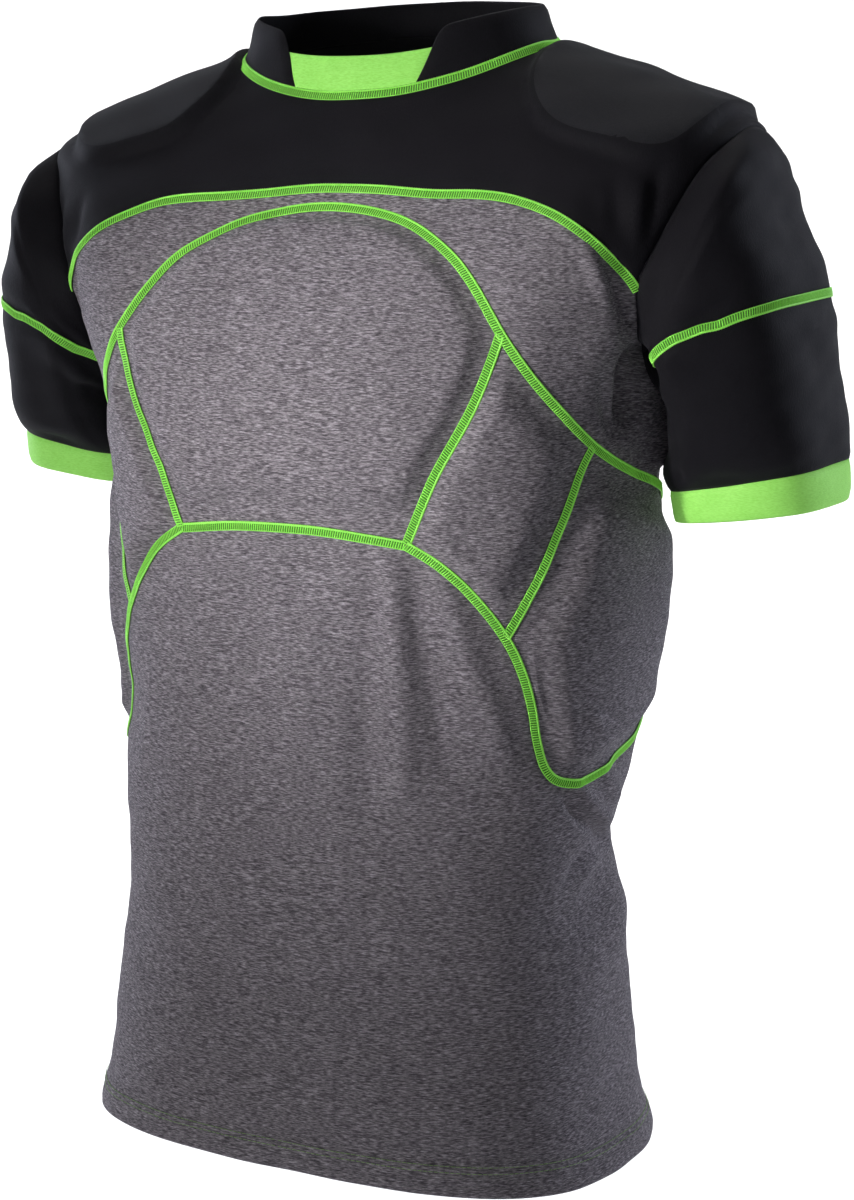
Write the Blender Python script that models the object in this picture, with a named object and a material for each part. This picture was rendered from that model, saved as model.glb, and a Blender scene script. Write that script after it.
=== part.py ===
"""A padded short-sleeved rugby top, filled out as it is worn, with no wearer.

Metres, +Z up. The front faces -Y and the wearer's left is +X. The origin is on the neck's axis,
at the height where the shoulders meet the collar. Each cut piece is a closed wall of cloth. Its
inside is a plain surface, and its pads are raised in the outside only.
"""

import math
from collections import namedtuple

import bmesh
import bpy
import numpy as np
from mathutils import Vector
from mathutils.geometry import delaunay_2d_cdt

OBJECT_NAME = "padded_rugby_top"

# Cloth
WALL = 0.002
SEAM_GAP = 0.0003
CUFF_WALL = 0.0015

# Spacing of the points that the walls are drawn with
EDGE_STEP = 0.016
LATTICE_STEP = 0.026
YOKE_LATTICE_STEP = 0.018
SLEEVE_ROW_STEP = 0.015
ARMHOLE_STEP = 12

# Radius that unrolls the body into a flat map of angle and level
MAP_RADIUS = 0.16

# The body, from hem to collar top. Level is the height above the hem up to the armpit, and then
# runs on over the shoulder to the neck. Half width and the front and back depths are measured
# from the section's middle. The drops lower the front and back of a section below its sides.
BodySection = namedtuple(
    "BodySection", "level half_width front back y_mid square z_side front_drop back_drop"
)
BODY_SECTIONS = (
    BodySection(0.000, 0.169, 0.126, 0.126, -0.033, 2.8, -0.656, 0.004, 0.000),
    BodySection(0.036, 0.161, 0.122, 0.122, -0.035, 2.7, -0.620, 0.003, 0.000),
    BodySection(0.082, 0.157, 0.116, 0.116, -0.036, 2.6, -0.574, 0.000, 0.000),
    BodySection(0.128, 0.1535, 0.111, 0.111, -0.037, 2.5, -0.528, 0.000, 0.000),
    BodySection(0.166, 0.149, 0.109, 0.109, -0.039, 2.5, -0.490, 0.000, 0.000),
    BodySection(0.227, 0.154, 0.112, 0.112, -0.032, 2.5, -0.429, 0.000, 0.000),
    BodySection(0.259, 0.158, 0.117, 0.117, -0.025, 2.5, -0.397, 0.000, 0.000),
    BodySection(0.345, 0.167, 0.121, 0.121, -0.019, 2.5, -0.311, 0.000, 0.000),
    BodySection(0.414, 0.167, 0.124, 0.122, -0.021, 2.5, -0.242, 0.000, 0.000),
    BodySection(0.465, 0.181, 0.133, 0.113, -0.012, 2.4, -0.191, 0.000, 0.000),
    BodySection(0.525, 0.217, 0.116, 0.110, -0.005, 2.4, -0.113, -0.013, 0.000),
    BodySection(0.580, 0.229, 0.093, 0.102, 0.000, 2.4, -0.055, -0.031, -0.012),
    BodySection(0.630, 0.163, 0.077, 0.086, 0.000, 2.3, -0.0250, -0.029, 0.002),
    BodySection(0.680, 0.0975, 0.062, 0.068, 0.000, 2.2, 0.000, -0.0245, 0.008),
    BodySection(0.712, 0.0885, 0.055, 0.063, 0.000, 2.2, 0.0235, -0.0100, 0.0045),
)
NECK_LEVEL = 0.680
COLLAR_TOP_LEVEL = 0.712

# How the cloth tilts sideways as it is worn: the wearer's left shoulder stands a little higher
Lean = namedtuple("Lean", "z rise_to_left")
LEAN = (
    Lean(-0.660, -0.042),
    Lean(-0.520, 0.000),
    Lean(-0.300, 0.000),
    Lean(-0.120, 0.040),
)

# The armhole, round from the shoulder tip (0 degrees) by the front (90), the armpit (180) and the
# back (270)
ArmholePoint = namedtuple("ArmholePoint", "turn angle level")
ARMHOLE = (
    ArmholePoint(0, 91, 0.587),
    ArmholePoint(40, 79, 0.570),
    ArmholePoint(60, 75, 0.547),
    ArmholePoint(75, 72, 0.525),
    ArmholePoint(95, 70.5, 0.509),
    ArmholePoint(115, 73, 0.491),
    ArmholePoint(135, 77.2, 0.474),
    ArmholePoint(180, 92, 0.460),
    ArmholePoint(225, 106, 0.475),
    ArmholePoint(262, 110, 0.510),
    ArmholePoint(290, 108, 0.540),
    ArmholePoint(325, 101, 0.570),
)
FRONT_YOKE_TURN = 96
SIDE_SEAM_TURN = 204
BACK_YOKE_TURN = 264

# The left sleeve: its outer and inner points in each section, its middle and half depth
SleeveSection = namedtuple(
    "SleeveSection", "station outer_x outer_z inner_x inner_z y_mid half_depth square"
)
SLEEVE_SECTIONS = (
    SleeveSection(0.020, 0.2400, -0.065, 0.184, -0.200, -0.008, 0.066, 2.6),
    SleeveSection(0.070, 0.2460, -0.100, 0.187, -0.205, -0.005, 0.066, 2.9),
    SleeveSection(0.116, 0.2615, -0.142, 0.188, -0.212, 0.005, 0.066, 3.0),
    SleeveSection(0.165, 0.2650, -0.190, 0.186, -0.229, 0.015, 0.064, 2.8),
    SleeveSection(0.203, 0.2695, -0.229, 0.180, -0.247, 0.026, 0.060, 2.9),
    SleeveSection(0.213, 0.2705, -0.239, 0.180, -0.255, 0.030, 0.056, 2.9),
    SleeveSection(0.232, 0.2725, -0.261, 0.179, -0.273, 0.032, 0.053, 2.8),
)
SLEEVE_END_STATION = 0.213
CUFF_END_STATION = 0.232

# The sleeve cap's seam, by the way round a squarish section: 0 outside the arm, 90 at its front
# and back, 180 under it. It runs from armhole to armhole and leaves the underarm whole.
CapPoint = namedtuple("CapPoint", "way_round station")
CAP_SEAM = (
    CapPoint(0, 0.1200),
    CapPoint(24, 0.1130),
    CapPoint(46, 0.1060),
    CapPoint(62, 0.1005),
    CapPoint(78, 0.0910),
    CapPoint(94, 0.0805),
    CapPoint(114, 0.0630),
    CapPoint(134, 0.0395),
    CapPoint(153, 0.0175),
    CapPoint(167.5, 0.0000),
)
CAP_SQUARE = 2.9
CAP_END_TURN = 144

# Where seams meet on the wearer's left: angle from the centre front in degrees, and level
CORNERS = {
    "chest_top": (48.8, 0.4935),
    "chest_low": (32.5, 0.381),
    "rib_top": (71.0, 0.435),
    "rib_low": (53.4, 0.327),
    "side_top": (100.0, 0.401),
    "side_low": (112.0, 0.260),
    "rib_end": (142.0, 0.338),
    "hem_side": (112.0, 0.0),
    "insert_low": (34.0, NECK_LEVEL),
    "insert_top": (43.5, 0.700),
    "neck_back": (180.0, NECK_LEVEL),
    "collar_back": (180.0, COLLAR_TOP_LEVEL),
    "hem_back": (180.0, 0.0),
}

# Seams on the wearer's left, from the centre line outwards or from the top down
SEAMS = {
    "front_yoke": (
        (0, 0.592), (22, 0.589), (40, 0.5835), (53, 0.5745), (58.8, 0.5555), (63.0, 0.5365),
        "armhole_front",
    ),
    "back_yoke": ((180, 0.560), (150, 0.556), (128, 0.542), "armhole_back"),
    "arch": (
        (0, 0.577), (18, 0.573), (30, 0.5615), (38, 0.5425), (43.5, 0.5205), "chest_top",
        (61.3, 0.4555),
        "rib_top", (83.2, 0.418), "side_top", (118, 0.387), (134, 0.370), "rib_end",
    ),
    "chest_side": ("chest_top", (40.6, 0.434), "chest_low"),
    "chest_low": ((0, 0.387), (17, 0.3855), "chest_low"),
    "rib_low": (
        "chest_low", (40.5, 0.368), (47.5, 0.349), "rib_low", (60.3, 0.283), (63.0, 0.259),
        (67.0, 0.243), (74.0, 0.2365), (86.0, 0.241), (99.0, 0.249), "side_low", (126, 0.277),
        (137, 0.303), "rib_end",
    ),
    "rib_divider": ("rib_top", (63.4, 0.382), "rib_low"),
    "side_top": ("armhole_side", "side_top"),
    "side_low": ("side_low", "hem_side"),
    "hem_front": ((0, 0.0), "hem_side"),
    "hem_rear": ("hem_back", "hem_side"),
    "neck_front": ((0, NECK_LEVEL), "insert_low"),
    "neck_rear": ("neck_back", "insert_low"),
    "insert_edge": ("insert_low", "insert_top"),
    "insert_rim": ((0, 0.700), "insert_top"),
    "collar_rim": (
        "collar_back", (95, COLLAR_TOP_LEVEL), (66, 0.7113), (54, 0.7105), (48, 0.7080), "insert_top"
    ),
}

# Pads: how high they stand, how far in from the seams they start, how wide their edge is
Pad = namedtuple("Pad", "height inset edge")
PANEL_PADS = {
    "chest": Pad(0.008, 0.012, 0.010),
    "rib_front": Pad(0.007, 0.008, 0.010),
    "rib_side": Pad(0.007, 0.008, 0.010),
}
SHOULDER_PAD_HEIGHT = 0.007
SHOULDER_PAD_EDGE = 0.010
SHOULDER_PAD_MIDDLE = (0.152, 0.0)
SHOULDER_PAD_HALF = (0.060, 0.064)
SHOULDER_PAD_SQUARE = 3.0
SLEEVE_PAD_HEIGHT = 0.0025
SLEEVE_PAD_HALF_TURN = 62
SLEEVE_PAD_SIDE_EDGE = 18
SLEEVE_PAD_EDGE = 0.012
SLEEVE_PAD_TOP_STATION = 0.030
SLEEVE_PAD_SEAM_INSET = 0.004

# Large soft folds in the body: their middle, the way they run (degrees from upright), and sizes
Fold = namedtuple("Fold", "angle level heading length width height")
FOLDS = (
    Fold(102, 0.180, 72, 0.120, 0.024, -0.007),
    Fold(102, 0.140, 72, 0.110, 0.020, 0.004),
    Fold(-100, 0.172, -65, 0.110, 0.024, -0.005),
    Fold(150, 0.185, 80, 0.200, 0.030, 0.005),
    Fold(-152, 0.170, -82, 0.190, 0.030, 0.005),
    Fold(22, 0.290, 8, 0.190, 0.026, 0.003),
    Fold(58, 0.528, 24, 0.110, 0.022, 0.005),
    Fold(-58, 0.528, -24, 0.110, 0.022, 0.005),
    Fold(-64, 0.398, 0, 0.130, 0.034, -0.0056),
    Fold(-66, 0.272, 0, 0.060, 0.034, -0.0045),
)

Finish = namedtuple("Finish", "colour roughness")
FINISHES = {
    "black_knit": Finish((0.013, 0.013, 0.016), 0.62),
    "grey_marl": Finish((0.185, 0.170, 0.180), 0.85),
    "green_elastic": Finish((0.300, 0.720, 0.130), 0.60),
}
SHARP_ANGLE = 50

# Steps for slopes, and small lengths and limits used in drawing the walls
DIFFERENCE = 0.0004
TURN_DIFFERENCE = 0.2
TIP_INSET = 0.0006
ARMHOLE_BLEND = 0.008
MITRE_LIMIT = 0.4
LATTICE_CLEAR = 0.55
ROW_TOLERANCE = 0.15
ROUNDING = 1e-6
KEY_DECIMALS = 6

BODY_TABLE = np.array(BODY_SECTIONS)


def monotone(knots, values, query):
    """A smooth curve through the knots that never overshoots them. Values may have columns."""
    knots = np.asarray(knots, float)
    values = np.asarray(values, float)
    query = np.clip(np.asarray(query, float), knots[0], knots[-1])
    column = (-1,) + (1,) * (values.ndim - 1)
    gaps = np.diff(knots)
    rates = np.diff(values, axis=0) / gaps.reshape(column)
    slopes = np.empty_like(values)
    slopes[0] = rates[0]
    slopes[-1] = rates[-1]
    before = (2.0 * gaps[1:] + gaps[:-1]).reshape(column)
    after = (gaps[1:] + 2.0 * gaps[:-1]).reshape(column)
    turning = rates[:-1] * rates[1:] <= 0.0
    left = np.where(turning, 1.0, rates[:-1])
    right = np.where(turning, 1.0, rates[1:])
    slopes[1:-1] = np.where(turning, 0.0, (before + after) / (before / left + after / right))
    cell = np.clip(np.searchsorted(knots, query, side="right") - 1, 0, len(gaps) - 1)
    width = gaps[cell].reshape(column)
    t = ((query - knots[cell]) / gaps[cell]).reshape(column)
    ends = values[cell] * (1 + 2 * t) * (1 - t) ** 2 + values[cell + 1] * t**2 * (3 - 2 * t)
    return ends + width * (slopes[cell] * t * (1 - t) ** 2 + slopes[cell + 1] * t**2 * (t - 1))


def spline(knots, values, query):
    """The natural cubic spline through the knots, with columns of values."""
    knots = np.asarray(knots, float)
    values = np.asarray(values, float)
    gaps = np.diff(knots)
    rates = np.diff(values, axis=0) / gaps[:, None]
    matrix = np.eye(len(knots))
    bends = np.zeros_like(values)
    for row in range(1, len(knots) - 1):
        matrix[row, row - 1:row + 2] = gaps[row - 1], 2.0 * (gaps[row - 1] + gaps[row]), gaps[row]
        bends[row] = 6.0 * (rates[row] - rates[row - 1])
    bends = np.linalg.solve(matrix, bends)
    cell = np.clip(np.searchsorted(knots, query, side="right") - 1, 0, len(gaps) - 1)
    width = gaps[cell][:, None]
    t = (query - knots[cell])[:, None] / width
    lift = ((1 - t) ** 3 - (1 - t)) * bends[cell] + (t**3 - t) * bends[cell + 1]
    return values[cell] * (1 - t) + values[cell + 1] * t + lift * width**2 / 6.0


def smooth_step(value):
    t = np.clip(value, 0.0, 1.0)
    return t * t * (3.0 - 2.0 * t)


def unit(vectors):
    return vectors / np.linalg.norm(vectors, axis=-1, keepdims=True)


def leaned(points):
    """Points after the sideways tilt."""
    points = np.array(points, float)
    share = monotone(*np.transpose(LEAN), points[..., 2].ravel()).reshape(points.shape[:-1])
    points[..., 2] += share * points[..., 0]
    return points


def fold_height(angle, level):
    """How far the large folds lift the body's surface."""
    total = np.zeros_like(angle)
    for fold in FOLDS:
        turn = (angle - math.radians(fold.angle) + math.pi) % (2.0 * math.pi) - math.pi
        across = turn * MAP_RADIUS
        up = level - fold.level
        tilt = math.radians(fold.heading)
        along = across * math.sin(tilt) + up * math.cos(tilt)
        aside = across * math.cos(tilt) - up * math.sin(tilt)
        total += fold.height * np.exp(-((aside / fold.width) ** 2) - (along / (0.5 * fold.length)) ** 2)
    return total


def plain_body(angle, level):
    """The body's surface with no folds: superellipse sections stacked by level."""
    section = BodySection(level, *monotone(BODY_TABLE[:, 0], BODY_TABLE[:, 1:], level).T)
    sine = np.sin(angle)
    cosine = np.cos(angle)
    depth = np.where(cosine > 0.0, section.front, section.back)
    drop = np.where(cosine > 0.0, section.front_drop, section.back_drop)
    sides = np.abs(sine / section.half_width) ** section.square
    radius = (sides + np.abs(cosine / depth) ** section.square) ** (-1.0 / section.square)
    reach = radius * cosine
    height = section.z_side + drop * (reach / depth) ** 2
    return leaned(np.stack((radius * sine, section.y_mid - reach, height), axis=-1))


def surface_frame(surface, angle, level):
    """Both tangents of a surface, and its outward normal."""
    turn = DIFFERENCE / MAP_RADIUS
    level = np.clip(level, DIFFERENCE, COLLAR_TOP_LEVEL - DIFFERENCE)
    along = (surface(angle + turn, level) - surface(angle - turn, level)) / (2.0 * turn)
    up = (surface(angle, level + DIFFERENCE) - surface(angle, level - DIFFERENCE)) / (2.0 * DIFFERENCE)
    return along, up, unit(np.cross(along, up))


def body(angle, level):
    """The inside of the body's cloth, with its large folds."""
    angle = np.asarray(angle, float)
    level = np.asarray(level, float)
    normal = surface_frame(plain_body, angle, level)[2]
    return plain_body(angle, level) + normal * fold_height(angle, level)[..., None]


def armhole_place(turn):
    """Angle and level of points round the left armhole."""
    rows = np.array(ARMHOLE, float)
    laps = np.concatenate([rows + (lap * 360.0, 0.0, 0.0) for lap in (-1, 0, 1)])
    places = spline(laps[:, 0], laps[:, 1:], np.asarray(turn, float) % 360.0)
    return np.stack((np.radians(places[:, 0]), places[:, 1]), axis=-1)


def corner(name):
    """Angle (radians) and level of a named corner."""
    turns = {
        "armhole_front": FRONT_YOKE_TURN,
        "armhole_side": SIDE_SEAM_TURN,
        "armhole_back": BACK_YOKE_TURN,
    }
    if name in turns:
        return tuple(armhole_place([turns[name]])[0])
    angle, level = CORNERS[name]
    return math.radians(angle), level


def stretch(name, start=None, end=None):
    """Places along a seam, between two of its corners or its whole length.

    They are evenly spaced from each corner to the next, so the panels on both sides share them.
    """
    rows = []
    marks = {}
    for row in SEAMS[name]:
        if isinstance(row, str):
            marks[row] = len(rows)
            rows.append(corner(row))
        else:
            rows.append((math.radians(row[0]), row[1]))
    first = marks.get(start, 0)
    last = marks.get(end, len(rows) - 1)
    stops = sorted({first, last, *(mark for mark in marks.values() if first < mark < last)})
    centre = rows[0][0]
    if centre in (0.0, math.pi):
        mirrored = [(2.0 * centre - angle, level) for angle, level in rows[:0:-1]]
        rows = mirrored + rows
        stops = [stop + len(mirrored) for stop in stops]
    rows = np.array(rows)
    chords = np.linalg.norm(np.diff(rows, axis=0) * (MAP_RADIUS, 1.0), axis=1)
    lengths = np.concatenate(([0.0], np.cumsum(chords)))
    along = [lengths[stops[0]]]
    for stop in stops[1:]:
        count = max(1, round((lengths[stop] - along[-1]) / EDGE_STEP))
        along += list(np.linspace(along[-1], lengths[stop], count + 1)[1:])
    return spline(lengths, rows, np.array(along))


def armhole_stretch(start, end):
    """Places along the left armhole, at the turns that the sleeve's sections also have."""
    step = ARMHOLE_STEP if end > start else -ARMHOLE_STEP
    return armhole_place(np.arange(start, end + 0.5 * step, step))


def joined(*stretches):
    """Stretches end to end, each turned round where that is how it meets the one before."""
    path = stretches[0]
    if np.linalg.norm(path[0] - stretches[1][[0, -1]], axis=1).min() < ROUNDING:
        path = path[::-1]
    for piece in stretches[1:]:
        if np.linalg.norm(piece[-1] - path[-1]) < ROUNDING:
            piece = piece[::-1]
        path = np.concatenate((path, piece[1:]))
    return path


def both_sides(half):
    """A closed loop from a path that starts and ends on the centre line."""
    return np.concatenate((half, half[-2:0:-1] * (-1.0, 1.0)))


def one_side(loop, side):
    """A closed loop for the left (1) or the right (-1), from a path back to its own start."""
    return loop[:-1] * (side, 1.0)


def flat_map(places):
    """Places on a flat ring, the neck inside and the hem outside, with shapes kept."""
    radius = np.exp(-places[:, 1] / MAP_RADIUS)
    return np.stack((radius * np.cos(places[:, 0]), radius * np.sin(places[:, 0])), axis=-1)


def inside_loops(points, loops):
    """Which flat points lie inside the first loop and outside the others."""
    inside = np.zeros(len(points), bool)
    x, y = points.T
    for loop in loops:
        for (ax, ay), (bx, by) in zip(loop, np.roll(loop, -1, axis=0)):
            spans = (ay > y) != (by > y)
            rise = by - ay if by != ay else 1.0
            inside ^= spans & (x < ax + (y - ay) / rise * (bx - ax))
    return inside


def edge_distance(points, loops):
    """Distance from each point to the nearest stretch of edge."""
    nearest = np.full(len(points), np.inf)
    for loop in loops:
        for a, b in zip(loop, np.roll(loop, -1, axis=0)):
            run = b - a
            t = np.clip((points - a) @ run / (run @ run), 0.0, 1.0)
            nearest = np.minimum(nearest, np.linalg.norm(points - a - t[:, None] * run, axis=1))
    return nearest


def edge_inward(points, normals):
    """Mitred directions into the panel along a loop that keeps the panel on its left."""
    runs = unit(np.roll(points, -1, axis=0) - points)
    aside = unit(np.cross(normals, runs))
    before = np.roll(aside, 1, axis=0)
    spread = np.maximum(1.0 + np.sum(aside * before, axis=1, keepdims=True), MITRE_LIMIT)
    return (aside + before) / spread


def moved_on_body(places, vectors):
    """Places on the body after a short move along its surface."""
    along, up, _ = surface_frame(plain_body, places[:, 0], places[:, 1])
    across = np.sum(along * along, axis=1)
    rising = np.sum(up * up, axis=1)
    mixed = np.sum(along * up, axis=1)
    on_along = np.sum(vectors * along, axis=1)
    on_up = np.sum(vectors * up, axis=1)
    area = across * rising - mixed**2
    angle = (on_along * rising - on_up * mixed) / area
    level = (on_up * across - on_along * mixed) / area
    return places + np.stack((angle, level), axis=-1)


def lattice(step):
    """A triangular lattice of places over the whole body."""
    rows = np.arange(0.0, COLLAR_TOP_LEVEL, step * math.sqrt(3.0) / 2.0)
    count = round(2.0 * math.pi * MAP_RADIUS / step)
    turns = np.arange(count) * 2.0 * math.pi / count
    shifts = np.arange(len(rows)) % 2 * math.pi / count
    angles = turns[None, :] + shifts[:, None]
    return np.stack((angles.ravel(), np.repeat(rows, count)), axis=-1)


def new_material(name):
    finish = FINISHES[name]
    material = bpy.data.materials.new(name)
    material.use_nodes = True
    shader = material.node_tree.nodes["Principled BSDF"]
    shader.inputs["Base Color"].default_value = (*finish.colour, 1.0)
    shader.inputs["Roughness"].default_value = finish.roughness
    shader.inputs["Metallic"].default_value = 0.0
    return material


def add_wall(name, inner, outer, faces, finish):
    """A closed wall of cloth: the inner surface, extruded to the outer points."""
    bm = bmesh.new()
    row = bm.verts.layers.int.new("row")
    verts = {}
    for index in sorted({int(index) for face in faces for index in face}):
        verts[index] = bm.verts.new(inner[index])
        verts[index][row] = index
    for face in faces:
        bm.faces.new([verts[int(index)] for index in face])
    raised = bmesh.ops.extrude_face_region(bm, geom=bm.faces[:])["geom"]
    for vert in raised:
        if isinstance(vert, bmesh.types.BMVert):
            vert.co = outer[vert[row]]
    # The shorter diagonal is the same one on both sides of a seam, so twisted ends stay parallel
    bmesh.ops.triangulate(bm, faces=bm.faces[:], quad_method="SHORT_EDGE")
    bmesh.ops.recalc_face_normals(bm, faces=bm.faces[:])
    bm.verts.layers.int.remove(row)
    mesh = bpy.data.meshes.new(name)
    bm.to_mesh(mesh)
    bm.free()
    mesh.materials.append(bpy.data.materials[finish])
    mesh.shade_smooth()
    mesh.set_sharp_from_angle(angle=math.radians(SHARP_ANGLE))
    obj = bpy.data.objects.new(name, mesh)
    bpy.data.collections[OBJECT_NAME].objects.link(obj)


def panel_points(loops, pad, step):
    """Places inside a panel: rows along the edge of its pad, then a lattice."""
    flat = [flat_map(loop) for loop in loops]
    edges = [body(loop[:, 0], loop[:, 1]) for loop in loops]
    rows = []
    clear = LATTICE_CLEAR * step
    if pad:
        for depth in (pad.inset, pad.inset + pad.edge):
            for loop, edge in zip(loops, edges):
                normals = surface_frame(plain_body, loop[:, 0], loop[:, 1])[2]
                places = moved_on_body(loop, edge_inward(edge, normals) * depth)
                distance = edge_distance(body(places[:, 0], places[:, 1]), edges)
                clean = np.abs(distance - depth) < ROW_TOLERANCE * depth
                rows.append(places[clean & inside_loops(flat_map(places), flat)])
        clear += pad.inset + pad.edge
    grid = lattice(step)
    grid = grid[inside_loops(flat_map(grid), flat)]
    distance = edge_distance(body(grid[:, 0], grid[:, 1]), edges)
    return np.concatenate(rows + [grid[distance > clear]])


def shoulder_pad_rise(points):
    """Height of the two shoulder pads over points on the yoke."""
    x = np.abs(np.abs(points[:, 0]) - SHOULDER_PAD_MIDDLE[0]) / SHOULDER_PAD_HALF[0]
    y = np.abs(points[:, 1] - SHOULDER_PAD_MIDDLE[1]) / SHOULDER_PAD_HALF[1]
    reach = (x**SHOULDER_PAD_SQUARE + y**SHOULDER_PAD_SQUARE) ** (1.0 / SHOULDER_PAD_SQUARE)
    inward = (1.0 - reach) * min(SHOULDER_PAD_HALF)
    return SHOULDER_PAD_HEIGHT * smooth_step(inward / SHOULDER_PAD_EDGE)


def add_panel(name, loops, finish, pad=None, rise=None, seam_normals=None, step=LATTICE_STEP):
    """One cut piece of the body, from its edge loops."""
    turned = []
    for index, loop in enumerate(loops):
        flat = flat_map(loop)
        ahead = np.roll(flat, -1, axis=0)
        area = np.sum(flat[:, 0] * ahead[:, 1] - flat[:, 1] * ahead[:, 0])
        turned.append(loop if (area > 0.0) == (index == 0) else loop[::-1])
    loops = turned
    edge_places = np.concatenate(loops)
    places = np.concatenate((edge_places, panel_points(loops, pad, step)))
    flat = flat_map(places)
    edge_lines = []
    first = 0
    for loop in loops:
        ring = list(range(first, first + len(loop)))
        edge_lines += list(zip(ring, ring[1:] + ring[:1]))
        first += len(loop)
    drawn = delaunay_2d_cdt([Vector(point) for point in flat], edge_lines, [], 0, ROUNDING)
    sources = [origin[0] for origin in drawn[3]]
    faces = np.array([[sources[index] for index in face] for face in drawn[2]])
    middles = flat[faces].mean(axis=1)
    faces = faces[inside_loops(middles, [flat_map(loop) for loop in loops])]

    inner = body(places[:, 0], places[:, 1])
    normals = surface_frame(body, places[:, 0], places[:, 1])[2]
    edges = [body(loop[:, 0], loop[:, 1]) for loop in loops]
    height = np.full(len(places), WALL)
    if pad:
        height += pad.height * smooth_step((edge_distance(inner, edges) - pad.inset) / pad.edge)
    if rise:
        height += rise(inner)
    first = 0
    for edge in edges:
        part = slice(first, first + len(edge))
        inner[part] = edge + edge_inward(edge, normals[part]) * 0.5 * SEAM_GAP
        first += len(edge)
    if seam_normals is not None:
        for index, place in enumerate(edge_places):
            key = tuple(np.round(flat_map(place[None])[0], KEY_DECIMALS))
            normals[index] = seam_normals.get(key, normals[index])
    add_wall(name, inner, inner + normals * height[:, None], faces, finish)


def sleeve_rings(side, turns):
    """Points of every sleeve section, the armhole first, at the given turns."""
    place = armhole_place(turns)
    rings = [body(side * place[:, 0], place[:, 1])]
    turn = np.radians(turns)
    for section in SLEEVE_SECTIONS:
        power = 2.0 / section.square
        outward = 0.5 * (1.0 + np.sign(np.cos(turn)) * np.abs(np.cos(turn)) ** power)
        forward = np.sign(np.sin(turn)) * np.abs(np.sin(turn)) ** power
        x = section.inner_x + (section.outer_x - section.inner_x) * outward
        y = section.y_mid - section.half_depth * forward
        z = section.inner_z + (section.outer_z - section.inner_z) * outward
        rings.append(leaned(np.stack((side * x, y, z), axis=-1)))
    return np.array(rings)


def sleeve_surface(side, turns, stations):
    """Points of a sleeve: a column for each turn, with its own rows of stations."""
    rings = sleeve_rings(side, np.asarray(turns, float))
    knots = [0.0] + [section.station for section in SLEEVE_SECTIONS]
    columns = [monotone(knots, rings[:, index], stations[:, index]) for index in range(len(turns))]
    return np.stack(columns, axis=1)


def sleeve_normals(side, turns, stations):
    """Outward normals of a sleeve at the same columns and rows."""
    stations = np.clip(stations, DIFFERENCE, CUFF_END_STATION - DIFFERENCE)
    ahead = sleeve_surface(side, turns + TURN_DIFFERENCE, stations)
    behind = sleeve_surface(side, turns - TURN_DIFFERENCE, stations)
    onward = sleeve_surface(side, turns, stations + DIFFERENCE)
    back = sleeve_surface(side, turns, stations - DIFFERENCE)
    return unit(np.cross(ahead - behind, onward - back)) * side


def armhole_normals(side):
    """Directions at the armhole that the body's and the sleeve's walls share, by place."""
    turns = np.arange(0.0, 360.0, ARMHOLE_STEP)
    place = armhole_place(turns) * (side, 1.0)
    body_normals = surface_frame(body, place[:, 0], place[:, 1])[2]
    shared = unit(body_normals + sleeve_normals(side, turns, np.zeros((1, len(turns))))[0])
    keys = [tuple(row) for row in np.round(flat_map(place), KEY_DECIMALS)]
    return shared, dict(zip(keys, shared))


def off_outer(turns):
    """How far round a turn is from the outside of the arm, in degrees."""
    return np.abs((turns + 180.0) % 360.0 - 180.0)


def cap_station(turns):
    """Station of the cap's seam at each turn, 0 where the underarm has none."""
    outward = np.cos(np.radians(turns))
    way_round = 90.0 * (1.0 - np.sign(outward) * np.abs(outward) ** (2.0 / CAP_SQUARE))
    return monotone(*np.transpose(CAP_SEAM), way_round)


def sleeve_pad_rise(turns, stations, start, end):
    """Height of a sleeve pad between two lines of stations."""
    round_share = smooth_step((SLEEVE_PAD_HALF_TURN - off_outer(turns)) / SLEEVE_PAD_SIDE_EDGE + 0.5)
    room = np.minimum(stations - start, end - stations)
    return SLEEVE_PAD_HEIGHT * round_share * smooth_step(room / SLEEVE_PAD_EDGE)


def add_sleeve_piece(name, side, turns, start, end, finish, wall, pad=None):
    """One piece of a sleeve, between two lines of stations. A whole round closes on itself."""
    count = max(2, round((end - start).max() / SLEEVE_ROW_STEP) + 1)
    share = np.linspace(0.0, 1.0, count)[:, None]
    stations = start + (end - start) * share
    points = sleeve_surface(side, turns, stations)
    normals = sleeve_normals(side, turns, stations)
    shared = armhole_normals(side)[0][(turns % 360.0 / ARMHOLE_STEP).astype(int)]
    near = np.clip(1.0 - stations / ARMHOLE_BLEND, 0.0, 1.0)[..., None]
    normals = unit(normals * (1.0 - near) + shared * near)
    height = np.full(stations.shape, wall)
    if pad:
        height += sleeve_pad_rise(turns, stations, *pad)
    whole = end - start > ROUNDING
    points[0, whole] += unit(points[1, whole] - points[0, whole]) * 0.5 * SEAM_GAP
    points[-1, whole] += unit(points[-2, whole] - points[-1, whole]) * 0.5 * SEAM_GAP
    for tip, inward in ((0, 1), (-1, -2)):
        if not whole[tip]:
            middle = points[:, inward].mean(axis=0)
            points[:, tip] += unit(middle - points[0, tip]) * TIP_INSET
    index = np.arange(stations.size).reshape(stations.shape)
    index[:, ~whole] = index[0, ~whole]
    if len(turns) * ARMHOLE_STEP == 360:
        index = np.concatenate((index, index[:, :1]), axis=1)
    faces = []
    for low, high in zip(index, index[1:]):
        for a, b, c, d in zip(low, low[1:], high[1:], high):
            faces.append(list(dict.fromkeys((a, b, c, d))))
    outer = points + normals * height[..., None]
    add_wall(name, points.reshape(-1, 3), outer.reshape(-1, 3), faces, finish)


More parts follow.
